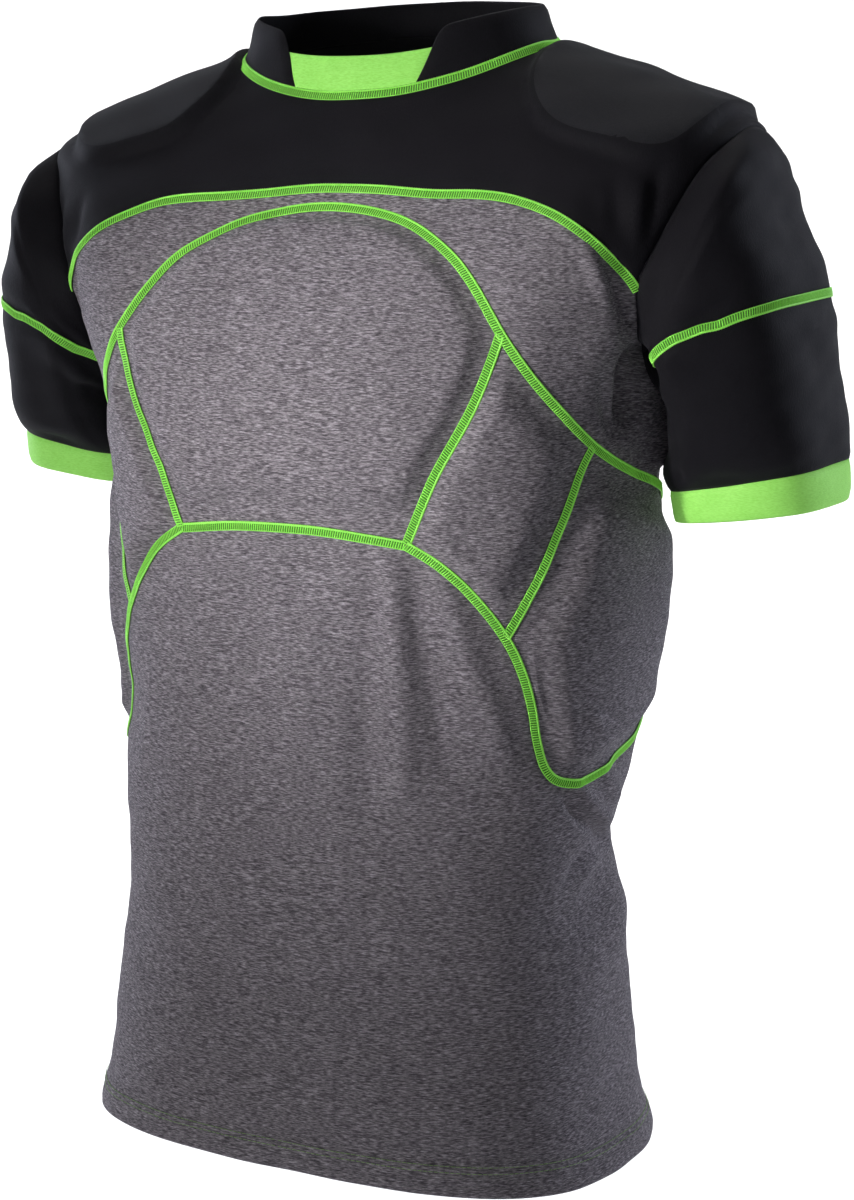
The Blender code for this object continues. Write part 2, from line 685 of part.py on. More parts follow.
def add_body_panels():
    """The yoke, the collar and the panels of the trunk."""
    armholes = {**armhole_normals(1)[1], **armhole_normals(-1)[1]}
    neck = both_sides(joined(stretch("neck_front"), stretch("neck_rear")))
    yoke = both_sides(joined(
        stretch("front_yoke"),
        armhole_stretch(FRONT_YOKE_TURN, BACK_YOKE_TURN - 360),
        stretch("back_yoke"),
    ))
    add_panel(
        "yoke", [yoke, neck], "black_knit", rise=shoulder_pad_rise, seam_normals=armholes,
        step=YOKE_LATTICE_STEP,
    )
    upper_chest = both_sides(joined(
        stretch("front_yoke"),
        armhole_stretch(FRONT_YOKE_TURN, SIDE_SEAM_TURN),
        stretch("side_top"),
        stretch("arch", end="side_top"),
    ))
    add_panel("upper_chest", [upper_chest], "grey_marl", seam_normals=armholes)
    chest = both_sides(joined(
        stretch("arch", end="chest_top"), stretch("chest_side"), stretch("chest_low"),
    ))
    add_panel("chest", [chest], "grey_marl", pad=PANEL_PADS["chest"])
    front_lower = both_sides(joined(
        stretch("chest_low"),
        stretch("rib_low", end="side_low"),
        stretch("side_low"),
        stretch("hem_front"),
    ))
    add_panel("front_lower", [front_lower], "grey_marl")
    back = both_sides(joined(
        stretch("back_yoke"),
        armhole_stretch(BACK_YOKE_TURN, SIDE_SEAM_TURN),
        stretch("side_top"),
        stretch("arch", start="side_top"),
        stretch("rib_low", start="side_low"),
        stretch("side_low"),
        stretch("hem_rear"),
    ))
    add_panel("back", [back], "grey_marl", seam_normals=armholes)
    collar = both_sides(joined(stretch("neck_rear"), stretch("insert_edge"), stretch("collar_rim")))
    add_panel("collar", [collar], "black_knit")
    insert = both_sides(joined(stretch("neck_front"), stretch("insert_edge"), stretch("insert_rim")))
    add_panel("collar_insert", [insert], "green_elastic")


def add_rib_panels(label, side):
    """The two padded rib panels of one side."""
    front = joined(
        stretch("arch", start="chest_top", end="rib_top"),
        stretch("rib_divider"),
        stretch("rib_low", start="chest_low", end="rib_low"),
        stretch("chest_side"),
    )
    add_panel(f"rib_front_{label}", [one_side(front, side)], "grey_marl", pad=PANEL_PADS["rib_front"])
    rear = joined(
        stretch("arch", start="rib_top", end="side_top"),
        stretch("arch", start="side_top"),
        stretch("rib_low", start="side_low"),
        stretch("rib_low", start="rib_low", end="side_low"),
        stretch("rib_divider"),
    )
    add_panel(f"rib_side_{label}", [one_side(rear, side)], "grey_marl", pad=PANEL_PADS["rib_side"])


def add_sleeve(label, side):
    """The padded cap, the padded lower sleeve and the cuff of one side."""
    around = np.arange(0.0, 360.0, ARMHOLE_STEP)
    over = np.arange(-CAP_END_TURN, CAP_END_TURN + ARMHOLE_STEP, ARMHOLE_STEP, dtype=float)
    top = np.zeros(len(over))
    cap_pad = (SLEEVE_PAD_TOP_STATION, cap_station(over) - SLEEVE_PAD_SEAM_INSET)
    add_sleeve_piece(
        f"upper_sleeve_{label}", side, over, top, cap_station(over), "black_knit", WALL, cap_pad
    )
    low = np.full(len(around), SLEEVE_END_STATION)
    low_pad = (cap_station(around) + SLEEVE_PAD_SEAM_INSET, low - SLEEVE_PAD_SEAM_INSET)
    add_sleeve_piece(
        f"lower_sleeve_{label}", side, around, cap_station(around), low, "black_knit", WALL, low_pad
    )
    end = np.full(len(around), CUFF_END_STATION)
    add_sleeve_piece(f"cuff_{label}", side, around, low, end, "green_elastic", CUFF_WALL)


def main():
    for obj in list(bpy.data.objects):
        bpy.data.objects.remove(obj, do_unlink=True)
    collection = bpy.data.collections.new(OBJECT_NAME)
    bpy.context.scene.collection.children.link(collection)
    for finish in FINISHES:
        new_material(finish)
    add_body_panels()
    for label, side in (("left", 1), ("right", -1)):
        add_rib_panels(label, side)
        add_sleeve(label, side)


main()
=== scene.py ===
"""Looks of a padded short-sleeved rugby top: its cloth, sewing, finishes, light and camera.

Metres, +Z up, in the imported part's frame. The front faces -Y and the wearer's left is +X. The shape
tables are the part's own. Every piece is drawn again with finer steps, creases and sewing.
"""

import math
from collections import namedtuple

import bpy
import numpy as np
from mathutils import Matrix, Vector
from mathutils.geometry import delaunay_2d_cdt
from mathutils.kdtree import KDTree


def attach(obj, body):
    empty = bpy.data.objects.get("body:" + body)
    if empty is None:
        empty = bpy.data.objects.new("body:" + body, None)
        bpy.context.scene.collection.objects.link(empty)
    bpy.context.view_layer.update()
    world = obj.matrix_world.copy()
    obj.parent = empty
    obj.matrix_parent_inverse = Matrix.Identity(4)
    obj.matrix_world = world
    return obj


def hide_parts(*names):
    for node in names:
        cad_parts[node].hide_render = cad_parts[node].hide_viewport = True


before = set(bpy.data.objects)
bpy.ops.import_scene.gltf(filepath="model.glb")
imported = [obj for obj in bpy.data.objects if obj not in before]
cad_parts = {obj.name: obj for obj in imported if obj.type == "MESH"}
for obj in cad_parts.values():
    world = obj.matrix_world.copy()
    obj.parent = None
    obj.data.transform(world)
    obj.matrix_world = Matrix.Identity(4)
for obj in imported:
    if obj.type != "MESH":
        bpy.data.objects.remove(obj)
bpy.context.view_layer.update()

# Cloth
WALL = 0.002
SEAM_GAP = 0.0003
CUFF_WALL = 0.0015
INSERT_WALL = 0.0013

# Spacing of the points that the cloth is drawn with
EDGE_STEP = 0.0035
LATTICE_STEP = 0.0038
FINE_STEP = 0.0028
EDGE_ROWS = (0.0014, 0.0034)
SLEEVE_ROW_STEP = 0.0035
SLEEVE_ROWS_LEAST = 6
SEAM_TURN_STEP = 0.5
ARMHOLE_STEP = 3

# Radius that unrolls the body into a flat map of angle and level
MAP_RADIUS = 0.16

# The body, from hem to collar top. Level is the height above the hem up to the armpit, and then
# runs on over the shoulder to the neck. Half width and the front and back depths are measured
# from the section's middle. The drops lower the front and back of a section below its sides.
BodySection = namedtuple(
    "BodySection", "level half_width front back y_mid square z_side front_drop back_drop"
)
BODY_SECTIONS = (
    BodySection(0.000, 0.169, 0.126, 0.126, -0.033, 2.8, -0.656, 0.004, 0.000),
    BodySection(0.036, 0.161, 0.122, 0.122, -0.035, 2.7, -0.620, 0.003, 0.000),
    BodySection(0.082, 0.157, 0.116, 0.116, -0.036, 2.6, -0.574, 0.000, 0.000),
    BodySection(0.128, 0.1535, 0.111, 0.111, -0.037, 2.5, -0.528, 0.000, 0.000),
    BodySection(0.166, 0.149, 0.109, 0.109, -0.039, 2.5, -0.490, 0.000, 0.000),
    BodySection(0.227, 0.154, 0.112, 0.112, -0.032, 2.5, -0.429, 0.000, 0.000),
    BodySection(0.259, 0.158, 0.117, 0.117, -0.025, 2.5, -0.397, 0.000, 0.000),
    BodySection(0.345, 0.167, 0.121, 0.121, -0.019, 2.5, -0.311, 0.000, 0.000),
    BodySection(0.414, 0.167, 0.124, 0.122, -0.021, 2.5, -0.242, 0.000, 0.000),
    BodySection(0.465, 0.181, 0.133, 0.113, -0.012, 2.4, -0.191, 0.000, 0.000),
    BodySection(0.525, 0.217, 0.116, 0.110, -0.005, 2.4, -0.113, -0.013, 0.000),
    BodySection(0.580, 0.229, 0.093, 0.102, 0.000, 2.4, -0.055, -0.031, -0.012),
    BodySection(0.630, 0.163, 0.077, 0.086, 0.000, 2.3, -0.0250, -0.029, 0.002),
    BodySection(0.680, 0.0975, 0.062, 0.068, 0.000, 2.2, 0.000, -0.0245, 0.008),
    BodySection(0.712, 0.0885, 0.055, 0.063, 0.000, 2.2, 0.0235, -0.0100, 0.0045),
)
NECK_LEVEL = 0.680
COLLAR_TOP_LEVEL = 0.712

# How the cloth tilts sideways as it is worn, the wearer's left shoulder a little higher: z, and the
# rise to the left
LEAN = (
    (-0.660, -0.042), (-0.520, 0.000), (-0.300, 0.000), (-0.120, 0.040),
)

# The armhole, round from the shoulder tip (0 degrees) by the front (90), the armpit (180) and the
# back (270): turn, angle and level
ARMHOLE = (
    (0, 91, 0.587), (40, 79, 0.570), (60, 75, 0.547), (75, 72, 0.525), (95, 70.5, 0.509),
    (115, 73, 0.491), (135, 77.2, 0.474), (180, 92, 0.460), (225, 106, 0.475), (262, 110, 0.510),
    (290, 108, 0.540), (325, 101, 0.570),
)
FRONT_YOKE_TURN = 96
SIDE_SEAM_TURN = 204
BACK_YOKE_TURN = 264

# The left sleeve: its outer and inner points in each section, its middle and half depth
SleeveSection = namedtuple(
    "SleeveSection", "station outer_x outer_z inner_x inner_z y_mid half_depth square"
)
SLEEVE_SECTIONS = (
    SleeveSection(0.020, 0.2400, -0.065, 0.184, -0.200, -0.008, 0.066, 2.6),
    SleeveSection(0.070, 0.2460, -0.100, 0.187, -0.205, -0.005, 0.066, 2.9),
    SleeveSection(0.116, 0.2615, -0.142, 0.188, -0.212, 0.005, 0.066, 3.0),
    SleeveSection(0.165, 0.2650, -0.190, 0.186, -0.229, 0.015, 0.064, 2.8),
    SleeveSection(0.203, 0.2695, -0.229, 0.180, -0.247, 0.026, 0.060, 2.9),
    SleeveSection(0.213, 0.2705, -0.239, 0.180, -0.255, 0.030, 0.056, 2.9),
    SleeveSection(0.232, 0.2725, -0.261, 0.179, -0.273, 0.032, 0.053, 2.8),
)
SLEEVE_END_STATION = 0.213
CUFF_END_STATION = 0.232

# The sleeve cap's seam, by the way round a squarish section: 0 outside the arm, 90 at its front
# and back, 180 under it. It runs from armhole to armhole and leaves the underarm whole. A row has the
# way round and the station.
CAP_SEAM = (
    (0, 0.1200), (24, 0.1130), (46, 0.1060), (62, 0.1005), (78, 0.0910), (94, 0.0805),
    (114, 0.0630), (134, 0.0395), (153, 0.0175), (167.5, 0.0000),
)
CAP_SQUARE = 2.9
CAP_END_TURN = 144

# Where seams meet on the wearer's left: angle from the centre front in degrees, and level
CORNERS = {
    "chest_top": (48.8, 0.4935),
    "chest_low": (32.5, 0.381),
    "rib_top": (71.0, 0.435),
    "rib_low": (53.4, 0.327),
    "side_top": (100.0, 0.401),
    "side_low": (112.0, 0.260),
    "rib_end": (142.0, 0.338),
    "hem_side": (112.0, 0.0),
    "insert_low": (34.0, NECK_LEVEL),
    "insert_top": (43.5, 0.700),
    "neck_back": (180.0, NECK_LEVEL),
    "collar_back": (180.0, COLLAR_TOP_LEVEL),
    "hem_back": (180.0, 0.0),
}

# Seams on the wearer's left, from the centre line outwards or from the top down
SEAMS = {
    "front_yoke": (
        (0, 0.592), (22, 0.589), (40, 0.5835), (53, 0.5745), (58.8, 0.5555), (63.0, 0.5365),
        "armhole_front",
    ),
    "back_yoke": ((180, 0.560), (150, 0.556), (128, 0.542), "armhole_back"),
    "arch": (
        (0, 0.577), (18, 0.573), (30, 0.5615), (38, 0.5425), (43.5, 0.5205), "chest_top",
        (61.3, 0.4555),
        "rib_top", (83.2, 0.418), "side_top", (118, 0.387), (134, 0.370), "rib_end",
    ),
    "chest_side": ("chest_top", (40.6, 0.434), "chest_low"),
    "chest_low": ((0, 0.387), (17, 0.3855), "chest_low"),
    "rib_low": (
        "chest_low", (40.5, 0.368), (47.5, 0.349), "rib_low", (60.3, 0.283), (63.0, 0.259),
        (67.0, 0.243), (74.0, 0.2365), (86.0, 0.241), (99.0, 0.249), "side_low", (126, 0.277),
        (137, 0.303), "rib_end",
    ),
    "rib_divider": ("rib_top", (63.4, 0.382), "rib_low"),
    "side_top": ("armhole_side", "side_top"),
    "side_low": ("side_low", "hem_side"),
    "hem_front": ((0, 0.0), "hem_side"),
    "hem_rear": ("hem_back", "hem_side"),
    "neck_front": ((0, NECK_LEVEL), "insert_low"),
    "neck_rear": ("neck_back", "insert_low"),
    "insert_edge": ("insert_low", "insert_top"),
    "insert_rim": ((0, 0.700), "insert_top"),
    "collar_rim": (
        "collar_back", (95, COLLAR_TOP_LEVEL), (66, 0.7113), (54, 0.7105), (48, 0.7080), "insert_top"
    ),
}

# Pads: how high they stand, how far in from the seams they start, how wide their edge is, and whether
# it ends in a sharp crest. A softer side has a wider edge.
Pad = namedtuple("Pad", "height inset edge crest")
PANEL_PADS = {
    "chest": Pad(0.0060, 0.0050, 0.0100, False),
    "rib_front": Pad(0.0066, 0.0020, 0.0095, True),
    "rib_side": Pad(0.0064, 0.0040, 0.0085, False),
}
PAD_CORNER_POWER = 3.0
CHEST_LOW_SOFTNESS = 2.0
RIB_TOP_SOFTNESS = 2.2
RIB_LOW_SOFTNESS = 1.6
CREST_HALF = 0.0006

# The fine ridge along the rim of the side rib pads, and the rows of places that follow it
RIB_RIM = ((57.9, 0.334), (59.1, 0.319), (60.5, 0.301), (63.1, 0.281), (66.5, 0.264))
RIB_RIM_WIDTH = 0.0015
RIB_RIM_HEIGHT = 0.0015
RIB_RIM_ROWS = (0.0004, 0.0024)
RIB_RIM_PLACES = 60

# The pads of the shoulders and the sleeves
SHOULDER_PAD_HEIGHT = 0.007
SHOULDER_PAD_EDGE = 0.006
SHOULDER_RIM_STEP = 0.0026
SHOULDER_RIM_PLACES = 720
SHOULDER_PAD_MIDDLE = {1.0: (0.158, 0.0), -1.0: (-0.146, 0.0)}
SHOULDER_PAD_HALF = (0.0610, 0.068)
SHOULDER_PAD_SQUARE = 3.0
SLEEVE_PAD_HEIGHT = 0.0020
SLEEVE_PAD_EDGE = 0.016
SLEEVE_PAD_SIDE_EDGE = 14
CAP_PAD_HALF_TURN = 98
CAP_PAD_TOP_STATION = 0.030
LOW_PAD_HALF_TURN = 118
SLEEVE_PAD_SEAM_INSET = 0.003

# Edges: how far the outside dips at a seam or a fold, and how far a free edge is rounded out
SEAM_DIP = 0.0010
SEAM_DIP_WIDTH = 0.0022
FREE_EDGE_BULGE = 0.0009
FREE_EDGE_REACH = 0.0007

# The hem is turned up: a thicker band, with two rows of stitches above its middle
HEM_BAND = 0.0185
HEM_BAND_RISE = 0.0007
HEM_STITCH_LEVELS = (0.0172, 0.0135)

# Large soft folds in the body: their middle, the way they run (degrees from upright), and sizes
Fold = namedtuple("Fold", "angle level heading length width height")
FOLDS = (
    Fold(102, 0.180, 72, 0.120, 0.024, -0.007),
    Fold(102, 0.140, 72, 0.110, 0.020, 0.004),
    Fold(-100, 0.172, -65, 0.110, 0.024, -0.005),
    Fold(150, 0.185, 80, 0.200, 0.030, 0.005),
    Fold(-152, 0.170, -82, 0.190, 0.030, 0.005),
    Fold(22, 0.290, 8, 0.190, 0.026, 0.003),
    Fold(58, 0.528, 24, 0.110, 0.022, 0.005),
    Fold(-58, 0.528, -24, 0.110, 0.022, 0.005),
    Fold(-64, 0.398, 0, 0.130, 0.034, -0.0056),
    Fold(-66, 0.272, 0, 0.060, 0.034, -0.0045),
)

# Creases of the body (0), the left sleeve (1) and the right sleeve (-1). A row has the width and the
# height (below 0 for a trough) in tenths of a millimetre, then the places that the crease runs
# through: angle and level on the body, turn and station on a sleeve, in degrees and millimetres.
Crease = namedtuple("Crease", "side width height path")
CREASES = {
    0: (
        # drag folds in the yoke, by the armholes
        (46, -30, (68, 584), (66.9, 553), (66.3, 532)),
        (46, 34, (71, 582), (69.9, 546), (69.2, 522)),
        (40, -34, (75, 590), (72.3, 566), (71, 548), (70, 526)),
        (55, -20, (65.1, 574), (63.6, 540)),
        (50, -24, (-69, 574), (-67, 548), (-66, 530)),
        (50, 24, (-72.5, 570), (-70.5, 544), (-69, 520)),
        # under the arms
        (46, 46, (60.6, 548), (63.4, 521), (65.6, 509), (68.5, 495)),
        (55, -80, (64.3, 535), (68.1, 507), (71.5, 494), (74.8, 483)),
        (150, -210, (76, 492), (77.2, 474), (79.6, 456), (85.5, 437)),
        (50, -50, (66.7, 480), (69.8, 465), (73.7, 449), (80.3, 430)),
        (45, 30, (70, 478), (73, 459), (78.5, 440)),
        (70, 55, (90.5, 443), (95.9, 430), (94, 420), (87, 416)),
        (40, -45, (90, 414), (95.5, 411), (101.5, 408), (113, 399)),
        (200, 60, (95, 462), (96.5, 430), (98, 385)),
        (55, -34, (-64, 530), (-68, 505), (-74, 484)),
        (65, 45, (-93, 441), (-95, 428), (-92, 418), (-85, 414)),
        (50, -28, (-86, 423), (-96, 408), (-108, 400)),
        # across the waist at the sides
        (44, -50, (112, 182), (101.4, 189), (88, 202), (77, 217), (69, 238)),
        (44, 36, (102, 197), (86, 214), (77, 230), (70, 248)),
        (50, -45, (110, 177), (98, 187), (87, 189), (80.1, 181), (74, 167)),
        (48, 32, (101, 176), (91, 178), (84, 170), (78, 158)),
        (70, 30, (104, 208), (92, 226), (80, 250)),
        (44, 22, (80.5, 258), (75.6, 273), (70.2, 287)),
        (80, -30, (-112, 176), (-98, 186), (-86, 198), (-74, 220)),
        (90, 20, (-106, 200), (-92, 212), (-80, 230)),
        # soft folds on the back, across the waist and down from the shoulder blades
        (110, -40, (124, 196), (138, 184), (154, 180), (168, 186)),
        (100, 32, (122, 218), (137, 208), (152, 206)),
        (100, -32, (-124, 190), (-140, 176), (-158, 172)),
        (110, 34, (-122, 214), (-136, 201), (-150, 198), (-164, 204)),
        (120, -30, (126, 530), (138, 500), (146, 465)),
        (120, -30, (-126, 526), (-137, 494), (-147, 458)),
        (150, 28, (150, 130), (146, 80), (148, 40)),
        (150, 28, (-154, 140), (-149, 85), (-152, 35)),
        # soft folds over the belly
        (90, 36, (28.9, 386), (30.1, 340), (31.8, 297), (34.6, 215)),
        (90, -26, (32.8, 380), (35.4, 328), (40, 286), (46, 226)),
        (80, 34, (39, 374), (45.6, 320), (51.9, 281), (58, 240)),
        (100, -35, (24.4, 382), (23.4, 318), (22.6, 254), (26.1, 195)),
        (150, 35, (6.5, 355), (5.1, 309), (4.6, 271), (4.3, 215)),
        (80, -25, (1.4, 380), (2.2, 345), (1.8, 310)),
        (60, 11, (-44, 292), (-49.7, 251), (-56, 210)),
        (160, -24, (-12, 374), (-16, 330), (-15, 280)),
        (200, 16, (20, 150), (48, 142), (72, 152)),
        (180, -14, (-62, 128), (-30, 112), (4, 120)),
        # the back
        (110, -26, (136, 214), (160, 196), (184, 200), (206, 216)),
        (120, 24, (140, 176), (168, 160), (200, 172), (220, 190)),
        (100, -22, (152, 140), (178, 126), (204, 138)),
        (100, -20, (112, 505), (122, 480), (136, 448)),
        (100, -18, (-112, 500), (-124, 476), (-140, 440)),
        (120, 16, (116, 480), (126, 452), (140, 424)),
    ),
    1: (
        (42, -16, (66, 6), (80, 7), (96, 10), (110, 12)),
        (42, -18, (56, 98), (68, 92), (78, 86.5), (85, 79), (89.5, 70)),
        (36, -20, (124, 208), (118, 202), (110, 194)),
        (44, -12, (106, 205), (92, 206), (74, 207)),
        (50, 16, (140, 10), (122, 22), (106, 40)),
        (60, -18, (150, 20), (130, 34), (112, 56)),
        (70, -18, (250, 30), (272, 50), (300, 58)),
    ),
    -1: (
        (42, 21, (140, 2), (120, 10), (105, 16), (93, 19)),
        (40, -22, (140, 7), (119, 15), (104, 26), (94, 36)),
        (46, 20, (139, 13), (118, 22), (101, 42), (92, 58)),
        (55, -20, (142, 22), (122, 36), (106, 62)),
        (60, -20, (134, 90), (139, 110), (143, 134)),
        (44, -14, (104, 206), (88, 207), (70, 207)),
        (70, -18, (252, 36), (274, 52), (302, 56)),
    ),
}
CREASE_TAPER = 0.03
CREASE_TAPER_SHARE = 0.45
CREASE_REACH = 3.0
CREASE_PLACES = 40
METRES_PER_DEGREE = 0.003
CREASE_SAMPLE = 0.0008

# Faint unevenness of worn cloth: size, wave length and direction of each ripple
Ripple = namedtuple("Ripple", "height length direction phase")
RIPPLES = (
    Ripple(0.00030, 0.043, (0.8, 0.5, 0.3), 0.4),
    Ripple(0.00026, 0.031, (-0.3, 0.6, 0.7), 2.1),
    Ripple(0.00030, 0.067, (0.5, -0.7, 0.5), 4.0),
    Ripple(0.00016, 0.019, (0.2, 0.4, -0.9), 1.3),
)

# Sewing
STITCH_PITCH = 0.0015
SEAM_HALF_WIDTH = 0.0029
SEAM_BUTT = 0.0012
BED_HEIGHT = 0.0001
BED_HALF_THICKNESS = 0.00035
Chain = namedtuple("Chain", "offset height half_width half_height")
CHAINS = (Chain(-0.0026, 0.0004, 0.00036, 0.00036), Chain(0.0021, 0.0005, 0.00080, 0.00042))
CHAIN_WAIST = 0.75
RUNG_HEIGHT = 0.0006
RUNG_ARCH = 0.0003
RUNG_SLANT = 0.35
RUNG_RADIUS = 0.00040
RUNG_SPAN = 0.92
RUNG_PARTS = 5
BED_SIDES = 8
CHAIN_SIDES = 6
RUNG_SIDES = 4
HEM_STITCH = 0.0032
HEM_STITCH_PARTS = 5
HEM_THREAD = 0.00020
HEM_THREAD_SIDES = 5
HEM_THREAD_TOP = 0.7
HEM_THREAD_DIP = 1.4

# Colours along the noise of each finish
MARL_STREAKS = (
    (0.30, (0.048, 0.043, 0.048)), (0.46, (0.146, 0.132, 0.144)), (0.56, (0.252, 0.229, 0.246)),
    (0.72, (0.485, 0.447, 0.474)),
)
MARL_PATCHES = ((0.30, (0.95, 0.94, 0.96)), (0.70, (1.00, 1.00, 1.00)))
MARL_FIBRES = ((0.25, (0.80, 0.80, 0.80)), (0.75, (1.00, 1.00, 1.00)))
BLACK_YARN = ((0.30, (0.0079, 0.0072, 0.0092)), (0.70, (0.0110, 0.0102, 0.0128)))
# Lighter black yarn for the shoulder pads' tops: painted light from above
PAINTED_LIGHT_YARN = ((0.30, (0.0176, 0.0176, 0.0202)), (0.70, (0.0242, 0.0242, 0.0275)))
BLACK_CLOUD = ((0.30, (0.85, 0.85, 0.85)), (0.70, (1.00, 1.00, 1.00)))
GREEN_WEAVE = ((0.35, (0.270, 0.680, 0.100)), (0.65, (0.360, 0.780, 0.160)))
GREEN_BLOTCH = ((0.30, (0.90, 0.95, 0.85)), (0.70, (1.00, 1.00, 1.00)))
THREAD_STOPS = ((0.30, (0.230, 0.690, 0.075)), (0.70, (0.330, 0.800, 0.130)))
HEM_STOPS = ((0.30, (0.200, 0.340, 0.120)), (0.70, (0.300, 0.460, 0.180)))
# The neon elastic and the green thread give off a little light of their own: a painted glow that
# brightens them, though they are no lamps
ELASTIC_GLOW = 0.25
THREAD_GLOW = 0.15
# The bed of thread under a seam, darkened as painted shade in the gaps between the stitches
BED_PAINTED_SHADE_STOPS = ((0.30, (0.050, 0.190, 0.020)), (0.70, (0.085, 0.270, 0.032)))
SHEEN_ROUGHNESS = 0.45

# Finishes: what is the same all over, then layers of noise whose colours multiply one another. One
# layer also gives the bump, and the last one may give a range of roughness.
Layer = namedtuple("Layer", "stretch scale detail roughness stops")
Finish = namedtuple(
    "Finish", "name colour roughness sheen tint specular glow bump bump_layer rough_range layers"
)


def knit_finish(name, yarn):
    """The black knit, plain, or its lighter copy for the shoulder pads' tops, which paints the light
    that falls on them from above.
    """
    layers = (
        Layer((1.0, 1.0, 0.35), 1400.0, 2.0, 0.6, yarn),
        Layer((1.0, 1.0, 1.0), 60.0, 3.0, 0.6, BLACK_CLOUD),
    )
    return Finish(
        name, yarn[0][1], 0.70, 0.04, (0.95, 0.96, 1.0), 0.08, 0.0, 0.0002, 0, (0.66, 0.74), layers
    )


def thread_finish(name, stops, roughness, glow):
    """Thread, or the bed of thread under a seam, whose dark green is painted shade between the
    stitches.
    """
    layers = (Layer((1.0, 1.0, 1.0), 900.0, 2.0, 0.6, stops),)
    return Finish(
        name, stops[0][1], roughness, 0.05, (0.8, 1.0, 0.6), 0.20, glow, 0.0001, 0, None, layers
    )


FINISHES = (
    Finish(
        "grey_marl", (0.185, 0.170, 0.180), 0.85, 0.08, (0.9, 0.9, 1.0), 0.10, 0.0, 0.00035, 2, None, (
            Layer((0.8, 0.8, 5.0), 330.0, 3.0, 0.6, MARL_STREAKS),
            Layer((1.0, 1.0, 2.2), 70.0, 2.0, 0.5, MARL_PATCHES),
            Layer((1.0, 1.0, 2.0), 1100.0, 2.0, 0.6, MARL_FIBRES),
        ),
    ),
    knit_finish("black_knit", BLACK_YARN),
    # the lighter copy of the black knit paints top light on the shoulder pads
    knit_finish("black_knit_taut", PAINTED_LIGHT_YARN),
    Finish(
        "green_elastic", (0.300, 0.720, 0.130), 0.6, 0.05, (0.8, 1.0, 0.7), 0.20, ELASTIC_GLOW,
        0.0003, 0, None, (
            Layer((1.0, 1.0, 5.0), 420.0, 2.0, 0.5, GREEN_WEAVE),
            Layer((1.0, 1.0, 1.0), 90.0, 2.0, 0.5, GREEN_BLOTCH),
        ),
    ),
    thread_finish("green_thread", THREAD_STOPS, 0.5, THREAD_GLOW),
    # the dark bed paints the shade between a seam's stitches
    thread_finish("green_bed_painted_shade", BED_PAINTED_SHADE_STOPS, 0.8, 0.0),
    thread_finish("hem_thread", HEM_STOPS, 0.7, 0.0),
    Finish(
        "studio_floor", (0.86, 0.86, 0.86), 0.9, 0.0, (1.0, 1.0, 1.0), 0.1, 0.0, 0.0, 0, None, ()
    ),
)

# Studio
FLOOR_LEVEL = -1.1
FLOOR_RADIUS = 5.5
FLOOR_CURVE = 2.0
FLOOR_TOP = 3.0
FLOOR_PARTS = 96
FLOOR_CURVE_STEP = 6.0
WORLD_STRENGTH = 0.05
Light = namedtuple("Light", "name place target size power spread colour")
LIGHTS = (
    Light("top", (0.0, 0.7, 2.0), (0.0, 0.0, 0.0), (1.6, 1.2), 17.0, 180, (1.0, 1.0, 1.0)),
    Light("key", (-0.72, -1.61, 0.00), (0.05, -0.12, -0.19), (0.12, 0.30), 0.41, 19, (1.0, 0.99, 1.0)),
    Light("fill", (-1.0, -1.95, 0.05), (0.0, 0.0, -0.45), (1.4, 1.4), 6.4, 120, (1.0, 1.0, 1.0)),
    Light("rim_right", (-2.1, 0.4, 0.1), (-0.15, 0.0, -0.30), (0.5, 1.6), 22.0, 180, (0.80, 0.85, 1.0)),
    Light("rim_left", (1.54, 1.71, 0.35), (0.2, 0.0, -0.35), (0.5, 1.6), 26.0, 180, (0.80, 0.85, 1.0)),
    Light("backdrop", (-1.36, 2.67, 1.9), (-1.6, 3.1, -1.1), (2.0, 3.5), 95.0, 110, (1.0, 1.0, 1.0)),
)
CAMERA_AZIMUTH = 27.0
CAMERA_PAN = -0.456
CAMERA_PITCH = 10.36
CAMERA_DISTANCE = 2.1
CAMERA_HEIGHT = 0.0486
CAMERA_LENS = 103.44
CAMERA_SENSOR = 36.0

# What each piece was cut to: width, length and area, and the sewing that goes with it
Cut = namedtuple("Cut", "width length area sewing")

# Steps for slopes, and small lengths and limits used in drawing the cloth
DIFFERENCE = 0.0004
TURN_DIFFERENCE = 0.2
TIP_INSET = 0.0006
ARMHOLE_BLEND = 0.008
MITRE_LIMIT = 0.4
LATTICE_CLEAR = 0.55
ROW_TOLERANCE = 0.15
ROW_SLACK = 0.0002
CLOSEST = 1e-5
ROUNDING = 1e-6
CDT_ROUNDING = 1e-7
KEY_DECIMALS = 6
SHOULDER_LEVEL = 0.615
SOLVE_ROUNDS = 30
SOLVE_LIMIT = 0.02

BODY_TABLE = np.array(BODY_SECTIONS)


